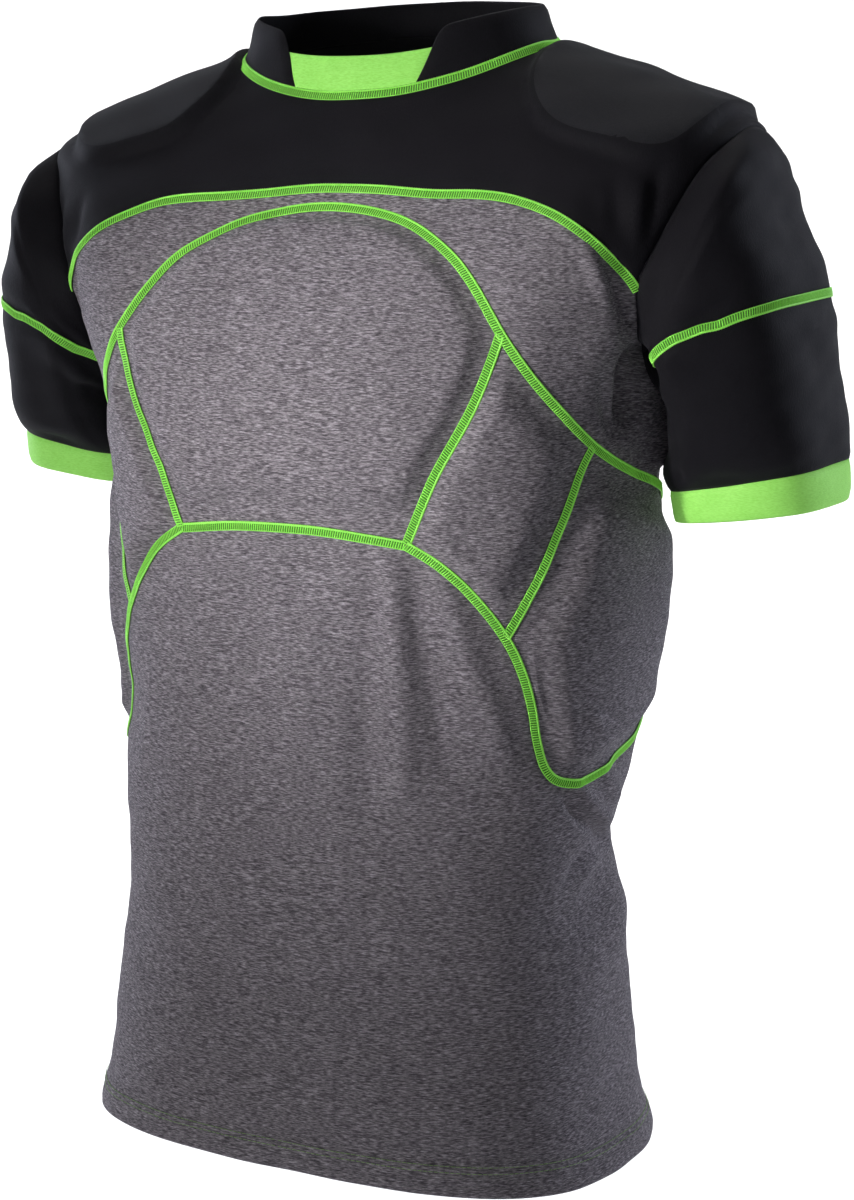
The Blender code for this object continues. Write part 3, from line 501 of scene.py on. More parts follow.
def monotone(knots, values, query):
    """A smooth curve through the knots that never overshoots them. Values may have columns."""
    knots = np.asarray(knots, float)
    values = np.asarray(values, float)
    query = np.clip(np.asarray(query, float), knots[0], knots[-1])
    column = (-1,) + (1,) * (values.ndim - 1)
    gaps = np.diff(knots)
    rates = np.diff(values, axis=0) / gaps.reshape(column)
    slopes = np.empty_like(values)
    slopes[0] = rates[0]
    slopes[-1] = rates[-1]
    before = (2.0 * gaps[1:] + gaps[:-1]).reshape(column)
    after = (gaps[1:] + 2.0 * gaps[:-1]).reshape(column)
    turning = rates[:-1] * rates[1:] <= 0.0
    left = np.where(turning, 1.0, rates[:-1])
    right = np.where(turning, 1.0, rates[1:])
    slopes[1:-1] = np.where(turning, 0.0, (before + after) / (before / left + after / right))
    cell = np.clip(np.searchsorted(knots, query, side="right") - 1, 0, len(gaps) - 1)
    width = gaps[cell].reshape(column)
    t = ((query - knots[cell]) / gaps[cell]).reshape(column)
    ends = values[cell] * (1 + 2 * t) * (1 - t) ** 2 + values[cell + 1] * t**2 * (3 - 2 * t)
    return ends + width * (slopes[cell] * t * (1 - t) ** 2 + slopes[cell + 1] * t**2 * (t - 1))


def spline(knots, values, query):
    """The natural cubic spline through the knots, with columns of values."""
    knots = np.asarray(knots, float)
    values = np.asarray(values, float)
    gaps = np.diff(knots)
    rates = np.diff(values, axis=0) / gaps[:, None]
    matrix = np.eye(len(knots))
    bends = np.zeros_like(values)
    for row in range(1, len(knots) - 1):
        matrix[row, row - 1:row + 2] = gaps[row - 1], 2.0 * (gaps[row - 1] + gaps[row]), gaps[row]
        bends[row] = 6.0 * (rates[row] - rates[row - 1])
    bends = np.linalg.solve(matrix, bends)
    cell = np.clip(np.searchsorted(knots, query, side="right") - 1, 0, len(gaps) - 1)
    width = gaps[cell][:, None]
    t = (query - knots[cell])[:, None] / width
    lift = ((1 - t) ** 3 - (1 - t)) * bends[cell] + (t**3 - t) * bends[cell + 1]
    return values[cell] * (1 - t) + values[cell + 1] * t + lift * width**2 / 6.0


def smooth_step(value):
    t = np.clip(value, 0.0, 1.0)
    return t * t * (3.0 - 2.0 * t)


def squarish(value, power):
    """A sine or cosine drawn out towards a square, with its sign kept."""
    return np.sign(value) * np.abs(value) ** power


def unit(vectors):
    return vectors / np.linalg.norm(vectors, axis=-1, keepdims=True)


def leaned(points):
    """Points after the sideways tilt."""
    points = np.array(points, float)
    share = monotone(*np.transpose(LEAN), points[..., 2].ravel()).reshape(points.shape[:-1])
    points[..., 2] += share * points[..., 0]
    return points


def fold_height(angle, level):
    """How far the large folds lift the body's surface."""
    total = np.zeros_like(angle)
    for fold in FOLDS:
        turn = (angle - math.radians(fold.angle) + math.pi) % (2.0 * math.pi) - math.pi
        across = turn * MAP_RADIUS
        up = level - fold.level
        tilt = math.radians(fold.heading)
        along = across * math.sin(tilt) + up * math.cos(tilt)
        aside = across * math.cos(tilt) - up * math.sin(tilt)
        total += fold.height * np.exp(-((aside / fold.width) ** 2) - (along / (0.5 * fold.length)) ** 2)
    return total


def plain_body(angle, level):
    """The body's surface with no folds: superellipse sections stacked by level."""
    section = BodySection(level, *monotone(BODY_TABLE[:, 0], BODY_TABLE[:, 1:], level).T)
    sine = np.sin(angle)
    cosine = np.cos(angle)
    depth = np.where(cosine > 0.0, section.front, section.back)
    drop = np.where(cosine > 0.0, section.front_drop, section.back_drop)
    sides = np.abs(sine / section.half_width) ** section.square
    radius = (sides + np.abs(cosine / depth) ** section.square) ** (-1.0 / section.square)
    reach = radius * cosine
    height = section.z_side + drop * (reach / depth) ** 2
    return leaned(np.stack((radius * sine, section.y_mid - reach, height), axis=-1))


def surface_frame(surface, angle, level):
    """Both tangents of a surface, and its outward normal."""
    turn = DIFFERENCE / MAP_RADIUS
    level = np.clip(level, DIFFERENCE, COLLAR_TOP_LEVEL - DIFFERENCE)
    along = (surface(angle + turn, level) - surface(angle - turn, level)) / (2.0 * turn)
    up = (surface(angle, level + DIFFERENCE) - surface(angle, level - DIFFERENCE)) / (2.0 * DIFFERENCE)
    return along, up, unit(np.cross(along, up))


def body(angle, level):
    """The inside of the body's cloth, with its large folds."""
    angle = np.asarray(angle, float)
    level = np.asarray(level, float)
    normal = surface_frame(plain_body, angle, level)[2]
    return plain_body(angle, level) + normal * fold_height(angle, level)[..., None]


def armhole_place(turn):
    """Angle and level of points round the left armhole."""
    rows = np.array(ARMHOLE, float)
    laps = np.concatenate([rows + (lap * 360.0, 0.0, 0.0) for lap in (-1, 0, 1)])
    places = spline(laps[:, 0], laps[:, 1:], np.asarray(turn, float) % 360.0)
    return np.stack((np.radians(places[:, 0]), places[:, 1]), axis=-1)


def corner(name):
    """Angle (radians) and level of a named corner."""
    turns = {
        "armhole_front": FRONT_YOKE_TURN,
        "armhole_side": SIDE_SEAM_TURN,
        "armhole_back": BACK_YOKE_TURN,
    }
    if name in turns:
        return tuple(armhole_place([turns[name]])[0])
    angle, level = CORNERS[name]
    return math.radians(angle), level


def stretch(name, start=None, end=None, step=EDGE_STEP):
    """Places along a seam, between two of its corners or its whole length.

    They are evenly spaced from each corner to the next, so the panels on both sides share them.
    """
    rows = []
    marks = {}
    for row in SEAMS[name]:
        if isinstance(row, str):
            marks[row] = len(rows)
            rows.append(corner(row))
        else:
            rows.append((math.radians(row[0]), row[1]))
    first = marks.get(start, 0)
    last = marks.get(end, len(rows) - 1)
    stops = sorted({first, last, *(mark for mark in marks.values() if first < mark < last)})
    centre = rows[0][0]
    if centre in (0.0, math.pi):
        mirrored = [(2.0 * centre - angle, level) for angle, level in rows[:0:-1]]
        rows = mirrored + rows
        stops = [stop + len(mirrored) for stop in stops]
    rows = np.array(rows)
    lengths = run_lengths(rows * (MAP_RADIUS, 1.0))
    along = [lengths[stops[0]]]
    for stop in stops[1:]:
        count = max(1, round((lengths[stop] - along[-1]) / step))
        along += list(np.linspace(along[-1], lengths[stop], count + 1)[1:])
    return spline(lengths, rows, np.array(along))


def armhole_stretch(start, end):
    """Places along the left armhole, at the turns that the sleeve's sections also have."""
    step = ARMHOLE_STEP if end > start else -ARMHOLE_STEP
    return armhole_place(np.arange(start, end + 0.5 * step, step))


def joined(*stretches):
    """Stretches end to end, each turned round where that is how it meets the one before."""
    path = stretches[0]
    if np.linalg.norm(path[0] - stretches[1][[0, -1]], axis=1).min() < ROUNDING:
        path = path[::-1]
    for piece in stretches[1:]:
        if np.linalg.norm(piece[-1] - path[-1]) < ROUNDING:
            piece = piece[::-1]
        path = np.concatenate((path, piece[1:]))
    return path


def both_sides(half):
    """A closed loop from a path that starts and ends on the centre line."""
    return np.concatenate((half, half[-2:0:-1] * (-1.0, 1.0)))


def one_side(loop, side):
    """A closed loop for the left (1) or the right (-1), from a path back to its own start."""
    return loop[:-1] * (side, 1.0)


def flat_map(places):
    """Places on a flat ring, the neck inside and the hem outside, with shapes kept."""
    radius = np.exp(-places[:, 1] / MAP_RADIUS)
    return np.stack((radius * np.cos(places[:, 0]), radius * np.sin(places[:, 0])), axis=-1)


def inside_loops(points, loops):
    """Which flat points lie inside the first loop and outside the others."""
    inside = np.zeros(len(points), bool)
    x, y = points.T
    for loop in loops:
        for (ax, ay), (bx, by) in zip(loop, np.roll(loop, -1, axis=0)):
            spans = (ay > y) != (by > y)
            rise = by - ay if by != ay else 1.0
            inside ^= spans & (x < ax + (y - ay) / rise * (bx - ax))
    return inside


def edge_inward(points, normals):
    """Mitred directions into the panel along a loop that keeps the panel on its left."""
    runs = unit(np.roll(points, -1, axis=0) - points)
    aside = unit(np.cross(normals, runs))
    before = np.roll(aside, 1, axis=0)
    spread = np.maximum(1.0 + np.sum(aside * before, axis=1, keepdims=True), MITRE_LIMIT)
    return (aside + before) / spread


def moved_on_body(places, vectors):
    """Places on the body after a short move along its surface."""
    along, up, _ = surface_frame(plain_body, *places.T)
    across = np.sum(along * along, axis=1)
    rising = np.sum(up * up, axis=1)
    mixed = np.sum(along * up, axis=1)
    on_along = np.sum(vectors * along, axis=1)
    on_up = np.sum(vectors * up, axis=1)
    area = across * rising - mixed**2
    angle = (on_along * rising - on_up * mixed) / area
    level = (on_up * across - on_along * mixed) / area
    return places + np.stack((angle, level), axis=-1)


def lattice(step):
    """A triangular lattice of places over the whole body."""
    rows = np.arange(0.0, COLLAR_TOP_LEVEL, step * math.sqrt(3.0) / 2.0)
    count = round(2.0 * math.pi * MAP_RADIUS / step)
    turns = np.arange(count) * 2.0 * math.pi / count
    shifts = np.arange(len(rows)) % 2 * math.pi / count
    angles = turns[None, :] + shifts[:, None]
    return np.stack((angles.ravel(), np.repeat(rows, count)), axis=-1)


def sleeve_rings(side, turns):
    """Points of every sleeve section, the armhole first, at the given turns."""
    place = armhole_place(turns)
    rings = [body(side * place[:, 0], place[:, 1])]
    turn = np.radians(turns)
    for section in SLEEVE_SECTIONS:
        power = 2.0 / section.square
        outward = 0.5 * (1.0 + squarish(np.cos(turn), power))
        forward = squarish(np.sin(turn), power)
        x = section.inner_x + (section.outer_x - section.inner_x) * outward
        y = section.y_mid - section.half_depth * forward
        z = section.inner_z + (section.outer_z - section.inner_z) * outward
        rings.append(leaned(np.stack((side * x, y, z), axis=-1)))
    return np.array(rings)


def sleeve_surface(side, turns, stations):
    """Points of a sleeve: a column for each turn, with its own rows of stations."""
    rings = sleeve_rings(side, np.asarray(turns, float))
    knots = [0.0] + [section.station for section in SLEEVE_SECTIONS]
    columns = [monotone(knots, rings[:, index], stations[:, index]) for index in range(len(turns))]
    return np.stack(columns, axis=1)


def sleeve_normals(side, turns, stations):
    """Outward normals of a sleeve at the same columns and rows."""
    stations = np.clip(stations, DIFFERENCE, CUFF_END_STATION - DIFFERENCE)
    ahead = sleeve_surface(side, turns + TURN_DIFFERENCE, stations)
    behind = sleeve_surface(side, turns - TURN_DIFFERENCE, stations)
    onward = sleeve_surface(side, turns, stations + DIFFERENCE)
    back = sleeve_surface(side, turns, stations - DIFFERENCE)
    return unit(np.cross(ahead - behind, onward - back)) * side


def off_outer(turns):
    """How far round a turn is from the outside of the arm, in degrees."""
    return np.abs((turns + 180.0) % 360.0 - 180.0)


def cap_station(turns):
    """Station of the cap's seam at each turn, 0 where the underarm has none."""
    outward = np.cos(np.radians(turns))
    way_round = 90.0 * (1.0 - squarish(outward, 2.0 / CAP_SQUARE))
    return monotone(*np.transpose(CAP_SEAM), way_round)


def run_lengths(path):
    """How far along a path each of its points is."""
    return np.concatenate(([0.0], np.cumsum(np.linalg.norm(np.diff(path, axis=0), axis=1))))


def rows_at(along, lengths, rows):
    """Rows of values in between those at the given lengths."""
    return np.stack([np.interp(along, lengths, column) for column in rows.T], axis=-1)


def evenly(path, step, closed=False):
    """Points along a path at even steps, and how far along each one is."""
    path = np.concatenate((path, path[:1])) if closed else np.asarray(path, float)
    lengths = run_lengths(path)
    count = max(2, round(lengths[-1] / step))
    along = np.linspace(0.0, lengths[-1], count + 1)
    points = rows_at(along, lengths, path)
    return (points[:-1], along[:-1]) if closed else (points, along)


class Line:
    """One path, or several closed loops, that distances are measured from."""

    def __init__(self, *paths, closed=False):
        tracks = [evenly(path, CREASE_SAMPLE, closed) for path in paths]
        points, self.along = (np.concatenate(column) for column in zip(*tracks))
        self.low = points.min(axis=0)
        self.high = points.max(axis=0)
        self.tree = KDTree(len(points))
        for index, point in enumerate(points):
            self.tree.insert(point, index)
        self.tree.balance()

    def near(self, points, reach):
        """Which points lie within reach of the path's box."""
        return np.all((points > self.low - reach) & (points < self.high + reach), axis=-1)

    def distance(self, points):
        """Distance of each point from the path, and how far along its nearest place is."""
        found = [self.tree.find(point) for point in points]
        return np.array([row[2] for row in found]), self.along[[row[1] for row in found]]


def crease_track(path, count=CREASE_PLACES):
    """Smoothly spaced places, in degrees and metres, along a crease's path."""
    rows = np.array(path, float)
    knots = run_lengths(rows * (METRES_PER_DEGREE, 1.0))
    return spline(knots, rows, np.linspace(0.0, knots[-1], count))


def crease_lines():
    """Every crease, and the ridge along each side rib pad's rim, with its line in space."""
    creases = [
        Crease(side, width / 1e4, height / 1e4, np.array(path) / (1.0, 1e3))
        for side, rows in CREASES.items() for width, height, *path in rows
    ]
    for side in (1.0, -1.0):
        creases.append(Crease(0, RIB_RIM_WIDTH, RIB_RIM_HEIGHT, np.array(RIB_RIM) * (side, 1.0)))
    lines = []
    for crease in creases:
        places = crease_track(crease.path)
        if crease.side:
            points = sleeve_surface(crease.side, places[:, 0], places[None, :, 1])[0]
        else:
            points = body(np.radians(places[:, 0]), places[:, 1])
        lines.append((crease, Line(points)))
    return lines


def lift(points):
    """How far creases and unevenness move the cloth out at points on its inside."""
    flat = points.reshape(-1, 3)
    total = np.zeros(len(flat))
    for crease, line in CREASE_LINES:
        near = np.flatnonzero(line.near(flat, CREASE_REACH * crease.width))
        if len(near):
            distance, along = line.distance(flat[near])
            length = line.along[-1]
            taper = np.minimum(along, length - along) / min(CREASE_TAPER, CREASE_TAPER_SHARE * length)
            profile = np.exp(-((distance / crease.width) ** 2))
            total[near] += crease.height * smooth_step(taper) * profile
    for ripple in RIPPLES:
        wave = flat @ unit(np.array(ripple.direction)) * (2.0 * math.pi / ripple.length)
        total += ripple.height * np.sin(wave + ripple.phase)
    return total.reshape(points.shape[:-1])


def used_only(faces, *arrays):
    """Faces and arrays without the points that no face uses."""
    kept, faces = np.unique(faces, return_inverse=True)
    return faces.reshape(-1, 3), *(array[kept] for array in arrays)


def new_piece(name, verts, faces, finishes, face_finish=None):
    """A smooth mesh object with its materials, which rides on the part."""
    mesh = bpy.data.meshes.new(name)
    mesh.from_pydata(verts.tolist(), [], [tuple(face) for face in faces])
    for finish in finishes:
        mesh.materials.append(bpy.data.materials[f"scene_{finish}"])
    if face_finish is not None:
        mesh.polygons.foreach_set("material_index", face_finish)
    mesh.shade_smooth()
    mesh.update()
    obj = bpy.data.objects.new(name, mesh)
    bpy.context.scene.collection.objects.link(obj)
    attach(obj, "root")
    return obj


def add_cloth(name, inner, outer, rim, faces, finish, painted_light=None):
    """A closed shell of cloth: outside, inside and a rounded rim. It stands for the CAD node.

    The faces picked by the mask, the flat tops of the shoulder pads, take a lighter copy of the finish:
    painted light from above.
    """
    faces, inner, outer, rim = used_only(faces, inner, outer, rim)
    count = len(outer)
    corners = outer[faces]
    across = np.cross(corners[:, 1] - corners[:, 0], corners[:, 2] - corners[:, 0])
    if np.sum(across * (outer - inner)[faces].mean(axis=1)) < 0.0:
        faces = faces[:, ::-1]
    starts = faces.ravel()
    ends = np.roll(faces, -1, axis=1).ravel()
    keys = np.minimum(starts, ends) * count + np.maximum(starts, ends)
    _, where, times = np.unique(keys, return_index=True, return_counts=True)
    border = where[times == 1]
    starts, ends = starts[border], ends[border]
    ring = np.unique(starts)
    at = np.zeros(count, int)
    at[ring] = 2 * count + np.arange(len(ring))
    verts = np.concatenate((outer, inner, rim[ring]))
    quads = np.concatenate((
        np.stack((ends, starts, at[starts], at[ends]), axis=-1),
        np.stack((at[ends], at[starts], starts + count, ends + count), axis=-1),
    ))
    drawn = faces.tolist() + (faces[:, ::-1] + count).tolist() + quads.tolist()
    if painted_light is None:
        obj = new_piece(f"{name}_cloth", verts, drawn, [finish])
    else:
        # the lighter copy goes on the masked faces as painted top light
        face_finish = np.zeros(len(drawn), int)
        face_finish[: len(faces)] = painted_light
        obj = new_piece(f"{name}_cloth", verts, drawn, [finish, f"{finish}_taut"], face_finish)
    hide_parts(name)
    return obj


def panel_places(loops, edges, line, step, rims, crest):
    """Places inside a panel: rows along its edges, rims of pads, then a lattice clear of both."""
    flat = [flat_map(loop) for loop in loops]
    rows = []
    depths = EDGE_ROWS if crest is None else (*EDGE_ROWS, crest - CREST_HALF, crest + CREST_HALF)
    for depth in depths:
        for loop, edge in zip(loops, edges):
            normals = surface_frame(plain_body, *loop.T)[2]
            places = moved_on_body(loop, edge_inward(edge, normals) * depth)
            distance = line.distance(body(*places.T))[0]
            clean = np.abs(distance - depth) < ROW_TOLERANCE * depth + ROW_SLACK
            rows.append(places[clean & inside_loops(flat_map(places), flat)])
    grid = lattice(step)
    grid = grid[inside_loops(flat_map(grid), flat)]
    points = body(*grid.T)
    depth = line.distance(points)[0]
    clear = depth > EDGE_ROWS[-1] + LATTICE_CLEAR * step
    if crest is not None:
        clear &= np.abs(depth - crest) > CREST_HALF + LATTICE_CLEAR * step
    for rim in rims:
        path = Line(body(*rim.T))
        near = path.near(points, step)
        clear[near] &= path.distance(points[near])[0] > LATTICE_CLEAR * step
    return np.concatenate(rows + [grid[clear]])


def pad_inward(pad, sides, points):
    """How far up a pad's edge points are, from 0 at its foot to 1 at its top, rounded at corners."""
    closeness = np.zeros(len(points))
    for side, softness in sides:
        distance = Line(body(*side.T)).distance(points)[0] / softness
        closeness += np.maximum(distance, CLOSEST) ** -PAD_CORNER_POWER
    return (closeness ** (-1.0 / PAD_CORNER_POWER) - pad.inset) / pad.edge


def pad_rise(pad, sides, points):
    """Height of a panel's pad, which keeps clear of the seams. A crest is a ramp with a sharp top."""
    if not pad.crest:
        return pad.height * smooth_step(pad_inward(pad, sides, points))
    crisp = [side for side in sides if side[1] == 1.0]
    soft = [side for side in sides if side[1] != 1.0]
    ramp = np.clip(pad_inward(pad, crisp, points), 0.0, 1.0)
    return pad.height * ramp * smooth_step(pad_inward(pad, soft, points))


def shoulder_inward(points):
    """How far inside a shoulder pad's outline points are, in metres."""
    left, right = (np.array(SHOULDER_PAD_MIDDLE[side]) for side in (1.0, -1.0))
    x, y = np.abs(points[:, :2] - np.where(points[:, :1] > 0.0, left, right)).T
    x, y = x / SHOULDER_PAD_HALF[0], y / SHOULDER_PAD_HALF[1]
    reach = (x**SHOULDER_PAD_SQUARE + y**SHOULDER_PAD_SQUARE) ** (1.0 / SHOULDER_PAD_SQUARE)
    return (1.0 - reach) * min(SHOULDER_PAD_HALF)


def shoulder_pad_rise(points):
    """Height of the two shoulder pads over points on the yoke."""
    return SHOULDER_PAD_HEIGHT * smooth_step(shoulder_inward(points) / SHOULDER_PAD_EDGE)


def shoulder_rims():
    """Places along the foot, the middle and the top of both shoulder pads' edges."""
    turn = np.linspace(0.0, 2.0 * math.pi, SHOULDER_RIM_PLACES, endpoint=False)
    corner_power = 2.0 / SHOULDER_PAD_SQUARE
    outline = np.stack((
        squarish(np.cos(turn), corner_power) * SHOULDER_PAD_HALF[0],
        squarish(np.sin(turn), corner_power) * SHOULDER_PAD_HALF[1],
    ), axis=-1)
    rims = []
    for inward in (0.0, 0.5 * SHOULDER_PAD_EDGE, SHOULDER_PAD_EDGE):
        share = 1.0 - inward / min(SHOULDER_PAD_HALF)
        ring = evenly(outline * share, SHOULDER_RIM_STEP, closed=True)[0]
        for side, middle in SHOULDER_PAD_MIDDLE.items():
            rims.append(places_under(ring * (side, 1.0) + middle))
    return rims


def rib_rim_rows(side):
    """Closed rows of places round the ridge along a side rib pad's rim."""
    track = crease_track(np.array(RIB_RIM) * (side, 1.0), RIB_RIM_PLACES) * (math.radians(1.0), 1.0)
    points = body(*track.T)
    aside = unit(np.cross(surface_frame(plain_body, *track.T)[2], np.gradient(points, axis=0)))
    rows = []
    for index, offset in enumerate(RIB_RIM_ROWS):
        part = slice(1 - index, len(track) - 1 + index)
        there, back = (moved_on_body(track[part], way * aside[part] * offset) for way in (1.0, -1.0))
        rows.append(np.concatenate((there, back[::-1])))
    return rows


def places_under(target):
    """Places on the shoulders under points given by x and y."""
    angles = np.arctan2(target[:, 0], -target[:, 1])
    places = np.stack((angles, np.full(len(target), SHOULDER_LEVEL)), axis=-1)
    for _ in range(SOLVE_ROUNDS):
        along, up, _ = surface_frame(plain_body, *places.T)
        missing = target - plain_body(*places.T)[:, :2]
        slopes = np.stack((along[:, :2], up[:, :2]), axis=-1)
        step = np.linalg.solve(slopes, missing[..., None])[..., 0]
        places = places + np.clip(step, -SOLVE_LIMIT, SOLVE_LIMIT)
    return places


def add_panel(
    name, loops, finish, rise=None, free=(), seam_normals=None, base=WALL, step=LATTICE_STEP, rims=(),
    painted_light=None, crest=None,
):
    """One cut piece of the body, from its edge loops. Free edges are rounded out."""
    turned = []
    for index, loop in enumerate(loops):
        flat = flat_map(loop)
        ahead = np.roll(flat, -1, axis=0)
        area = np.sum(flat[:, 0] * ahead[:, 1] - flat[:, 1] * ahead[:, 0])
        turned.append(loop if (area > 0.0) == (index == 0) else loop[::-1])
    loops = turned
    edges = [body(*loop.T) for loop in loops]
    line = Line(*edges, closed=True)
    edge_places = np.concatenate(loops)
    edge_lines = []
    first = 0
    for loop in loops:
        ring = list(range(first, first + len(loop)))
        edge_lines += list(zip(ring, ring[1:] + ring[:1]))
        first += len(loop)
    kept_rims = []
    for rim in rims:
        within = inside_loops(flat_map(rim), [flat_map(loop) for loop in loops])
        within &= line.distance(body(*rim.T))[0] > EDGE_ROWS[-1] + 0.5 * step
        numbers = np.where(within, first + np.cumsum(within) - 1, -1)
        edge_lines += [pair for pair in zip(numbers, np.roll(numbers, -1)) if min(pair) >= 0]
        kept_rims.append(rim[within])
        first += len(kept_rims[-1])
    inside = panel_places(loops, edges, line, step, kept_rims, crest)
    places = np.concatenate((edge_places, *kept_rims, inside))
    flat = flat_map(places)
    drawn = delaunay_2d_cdt([Vector(point) for point in flat], edge_lines, [], 0, CDT_ROUNDING)
    sources = [origin[0] for origin in drawn[3]]
    faces = np.array([[sources[index] for index in face] for face in drawn[2]])
    middles = flat[faces].mean(axis=1)
    faces = faces[inside_loops(middles, [flat_map(loop) for loop in loops])]

    inner = body(*places.T)
    normals = surface_frame(body, *places.T)[2]
    distance = line.distance(inner)[0]
    height = base - SEAM_DIP * np.exp(-((distance / SEAM_DIP_WIDTH) ** 2))
    if rise:
        height = height + rise(inner, places)
    moved = lift(inner)
    outward = np.zeros_like(inner)
    first = 0
    for edge in edges:
        part = slice(first, first + len(edge))
        inward = edge_inward(edge, normals[part])
        inner[part] = edge + inward * 0.5 * SEAM_GAP
        for path in free:
            loose = Line(body(*path.T)).distance(edge)[0] < FREE_EDGE_REACH
            outward[part][loose] = -inward[loose] * FREE_EDGE_BULGE
        first += len(edge)
    if seam_normals is not None:
        for index, place in enumerate(edge_places):
            key = tuple(np.round(flat_map(place[None])[0], KEY_DECIMALS))
            normals[index] = seam_normals.get(key, normals[index])
    inner = inner + normals * moved[:, None]
    outer = inner + normals * height[:, None]
    rim = 0.5 * (inner + outer) + outward
    # The shoulder pads' flat tops get the lighter copy of the finish: painted light from above.
    mask = painted_light(body(*places.T)[faces].mean(axis=1)) if painted_light else None
    return add_cloth(name, inner, outer, rim, faces, finish, mask)


def armhole_normals(side):
    """Directions at the armhole that the body's and the sleeve's cloth share, by place."""
    turns = np.arange(0.0, 360.0, ARMHOLE_STEP)
    place = armhole_place(turns) * (side, 1.0)
    body_normals = surface_frame(body, *place.T)[2]
    shared = unit(body_normals + sleeve_normals(side, turns, np.zeros((1, len(turns))))[0])
    keys = [tuple(row) for row in np.round(flat_map(place), KEY_DECIMALS)]
    return shared, dict(zip(keys, shared))


def sleeve_pad_rise(turns, stations, start, end, half_turn):
    """Height of a sleeve pad between two lines of stations."""
    aside = (half_turn - off_outer(turns)) / SLEEVE_PAD_SIDE_EDGE * SLEEVE_PAD_EDGE
    room = np.minimum(stations - start, end - stations)
    closeness = np.zeros(stations.shape)
    for distance in (np.broadcast_to(aside, stations.shape), room):
        closeness += np.maximum(distance, CLOSEST) ** -PAD_CORNER_POWER
    return SLEEVE_PAD_HEIGHT * smooth_step(closeness ** (-1.0 / PAD_CORNER_POWER) / SLEEVE_PAD_EDGE)


def add_sleeve_piece(name, side, turns, start, end, finish, wall, pad=None, free_end=False):
    """One piece of a sleeve, between two lines of stations. A whole round closes on itself."""
    count = max(SLEEVE_ROWS_LEAST, round((end - start).max() / SLEEVE_ROW_STEP) + 1)
    share = np.linspace(0.0, 1.0, count)[:, None]
    stations = start + (end - start) * share
    points = sleeve_surface(side, turns, stations)
    normals = sleeve_normals(side, turns, stations)
    shared = armhole_normals(side)[0][(turns % 360.0 / ARMHOLE_STEP).astype(int)]
    near = np.clip(1.0 - stations / ARMHOLE_BLEND, 0.0, 1.0)[..., None]
    normals = unit(normals * (1.0 - near) + shared * near)
    room = np.minimum(stations - start, end - stations)
    height = wall - SEAM_DIP * wall / WALL * np.exp(-((room / SEAM_DIP_WIDTH) ** 2))
    if pad:
        height = height + sleeve_pad_rise(turns, stations, *pad)
    moved = lift(points)
    whole = end - start > ROUNDING
    points[0, whole] += unit(points[1, whole] - points[0, whole]) * 0.5 * SEAM_GAP
    points[-1, whole] += unit(points[-2, whole] - points[-1, whole]) * 0.5 * SEAM_GAP
    for tip, inward in ((0, 1), (-1, -2)):
        if not whole[tip]:
            middle = points[:, inward].mean(axis=0)
            points[:, tip] += unit(middle - points[0, tip]) * TIP_INSET
    index = np.arange(stations.size).reshape(stations.shape)
    index[:, ~whole] = index[0, ~whole]
    if len(turns) * ARMHOLE_STEP == 360:
        index = np.concatenate((index, index[:, :1]), axis=1)
    a, b, c, d = index[:-1, :-1], index[:-1, 1:], index[1:, 1:], index[1:, :-1]
    faces = np.concatenate([np.stack(tri, axis=-1).reshape(-1, 3) for tri in ((a, b, c), (a, c, d))])
    repeats = (faces == np.roll(faces, 1, axis=1)).any(axis=1)
    points = points + normals * moved[..., None]
    outer = points + normals * height[..., None]
    rim = 0.5 * (points + outer)
    if free_end:
        rim[-1] += unit(points[-1] - points[-2]) * FREE_EDGE_BULGE
    arrays = [array.reshape(-1, 3) for array in (points, outer, rim)]
    return add_cloth(name, *arrays, faces[~repeats], finish)


def tubes(centres, ups, wide, high, sides, closed=False):
    """Rows of closed tubes: centres and up directions by tube and ring, half width and half height."""
    if closed:
        run = np.roll(centres, -1, axis=1) - np.roll(centres, 1, axis=1)
    else:
        run = np.gradient(centres, axis=1)
    run = unit(run)
    aside = unit(np.cross(ups, run))
    up = np.cross(run, aside)
    turn = np.arange(sides) * 2.0 * math.pi / sides
    wide = np.broadcast_to(wide, centres.shape[:2])[..., None, None]
    high = np.broadcast_to(high, centres.shape[:2])[..., None, None]
    across = aside[:, :, None] * np.cos(turn)[:, None] * wide
    verts = centres[:, :, None] + across + up[:, :, None] * np.sin(turn)[:, None] * high
    index = np.arange(verts.size // 3).reshape(verts.shape[:3])
    around = np.roll(index, -1, axis=2)
    if closed:
        index_next, around_next = np.roll(index, -1, axis=1), np.roll(around, -1, axis=1)
        quads = np.stack((index, around, around_next, index_next), axis=-1)
    else:
        quads = np.stack((index[:, :-1], around[:, :-1], around[:, 1:], index[:, 1:]), axis=-1)
    faces = quads.reshape(-1, 4).tolist()
    if not closed:
        faces += index[:, 0, ::-1].tolist() + index[:, -1].tolist()
    return verts.reshape(-1, 3), faces


def merged(*meshes):
    """Several lists of points and faces as one."""
    verts = np.concatenate([mesh[0] for mesh in meshes])
    faces = []
    first = 0
    for points, part in meshes:
        faces += [[index + first for index in face] for face in part]
        first += len(points)
    return verts, faces


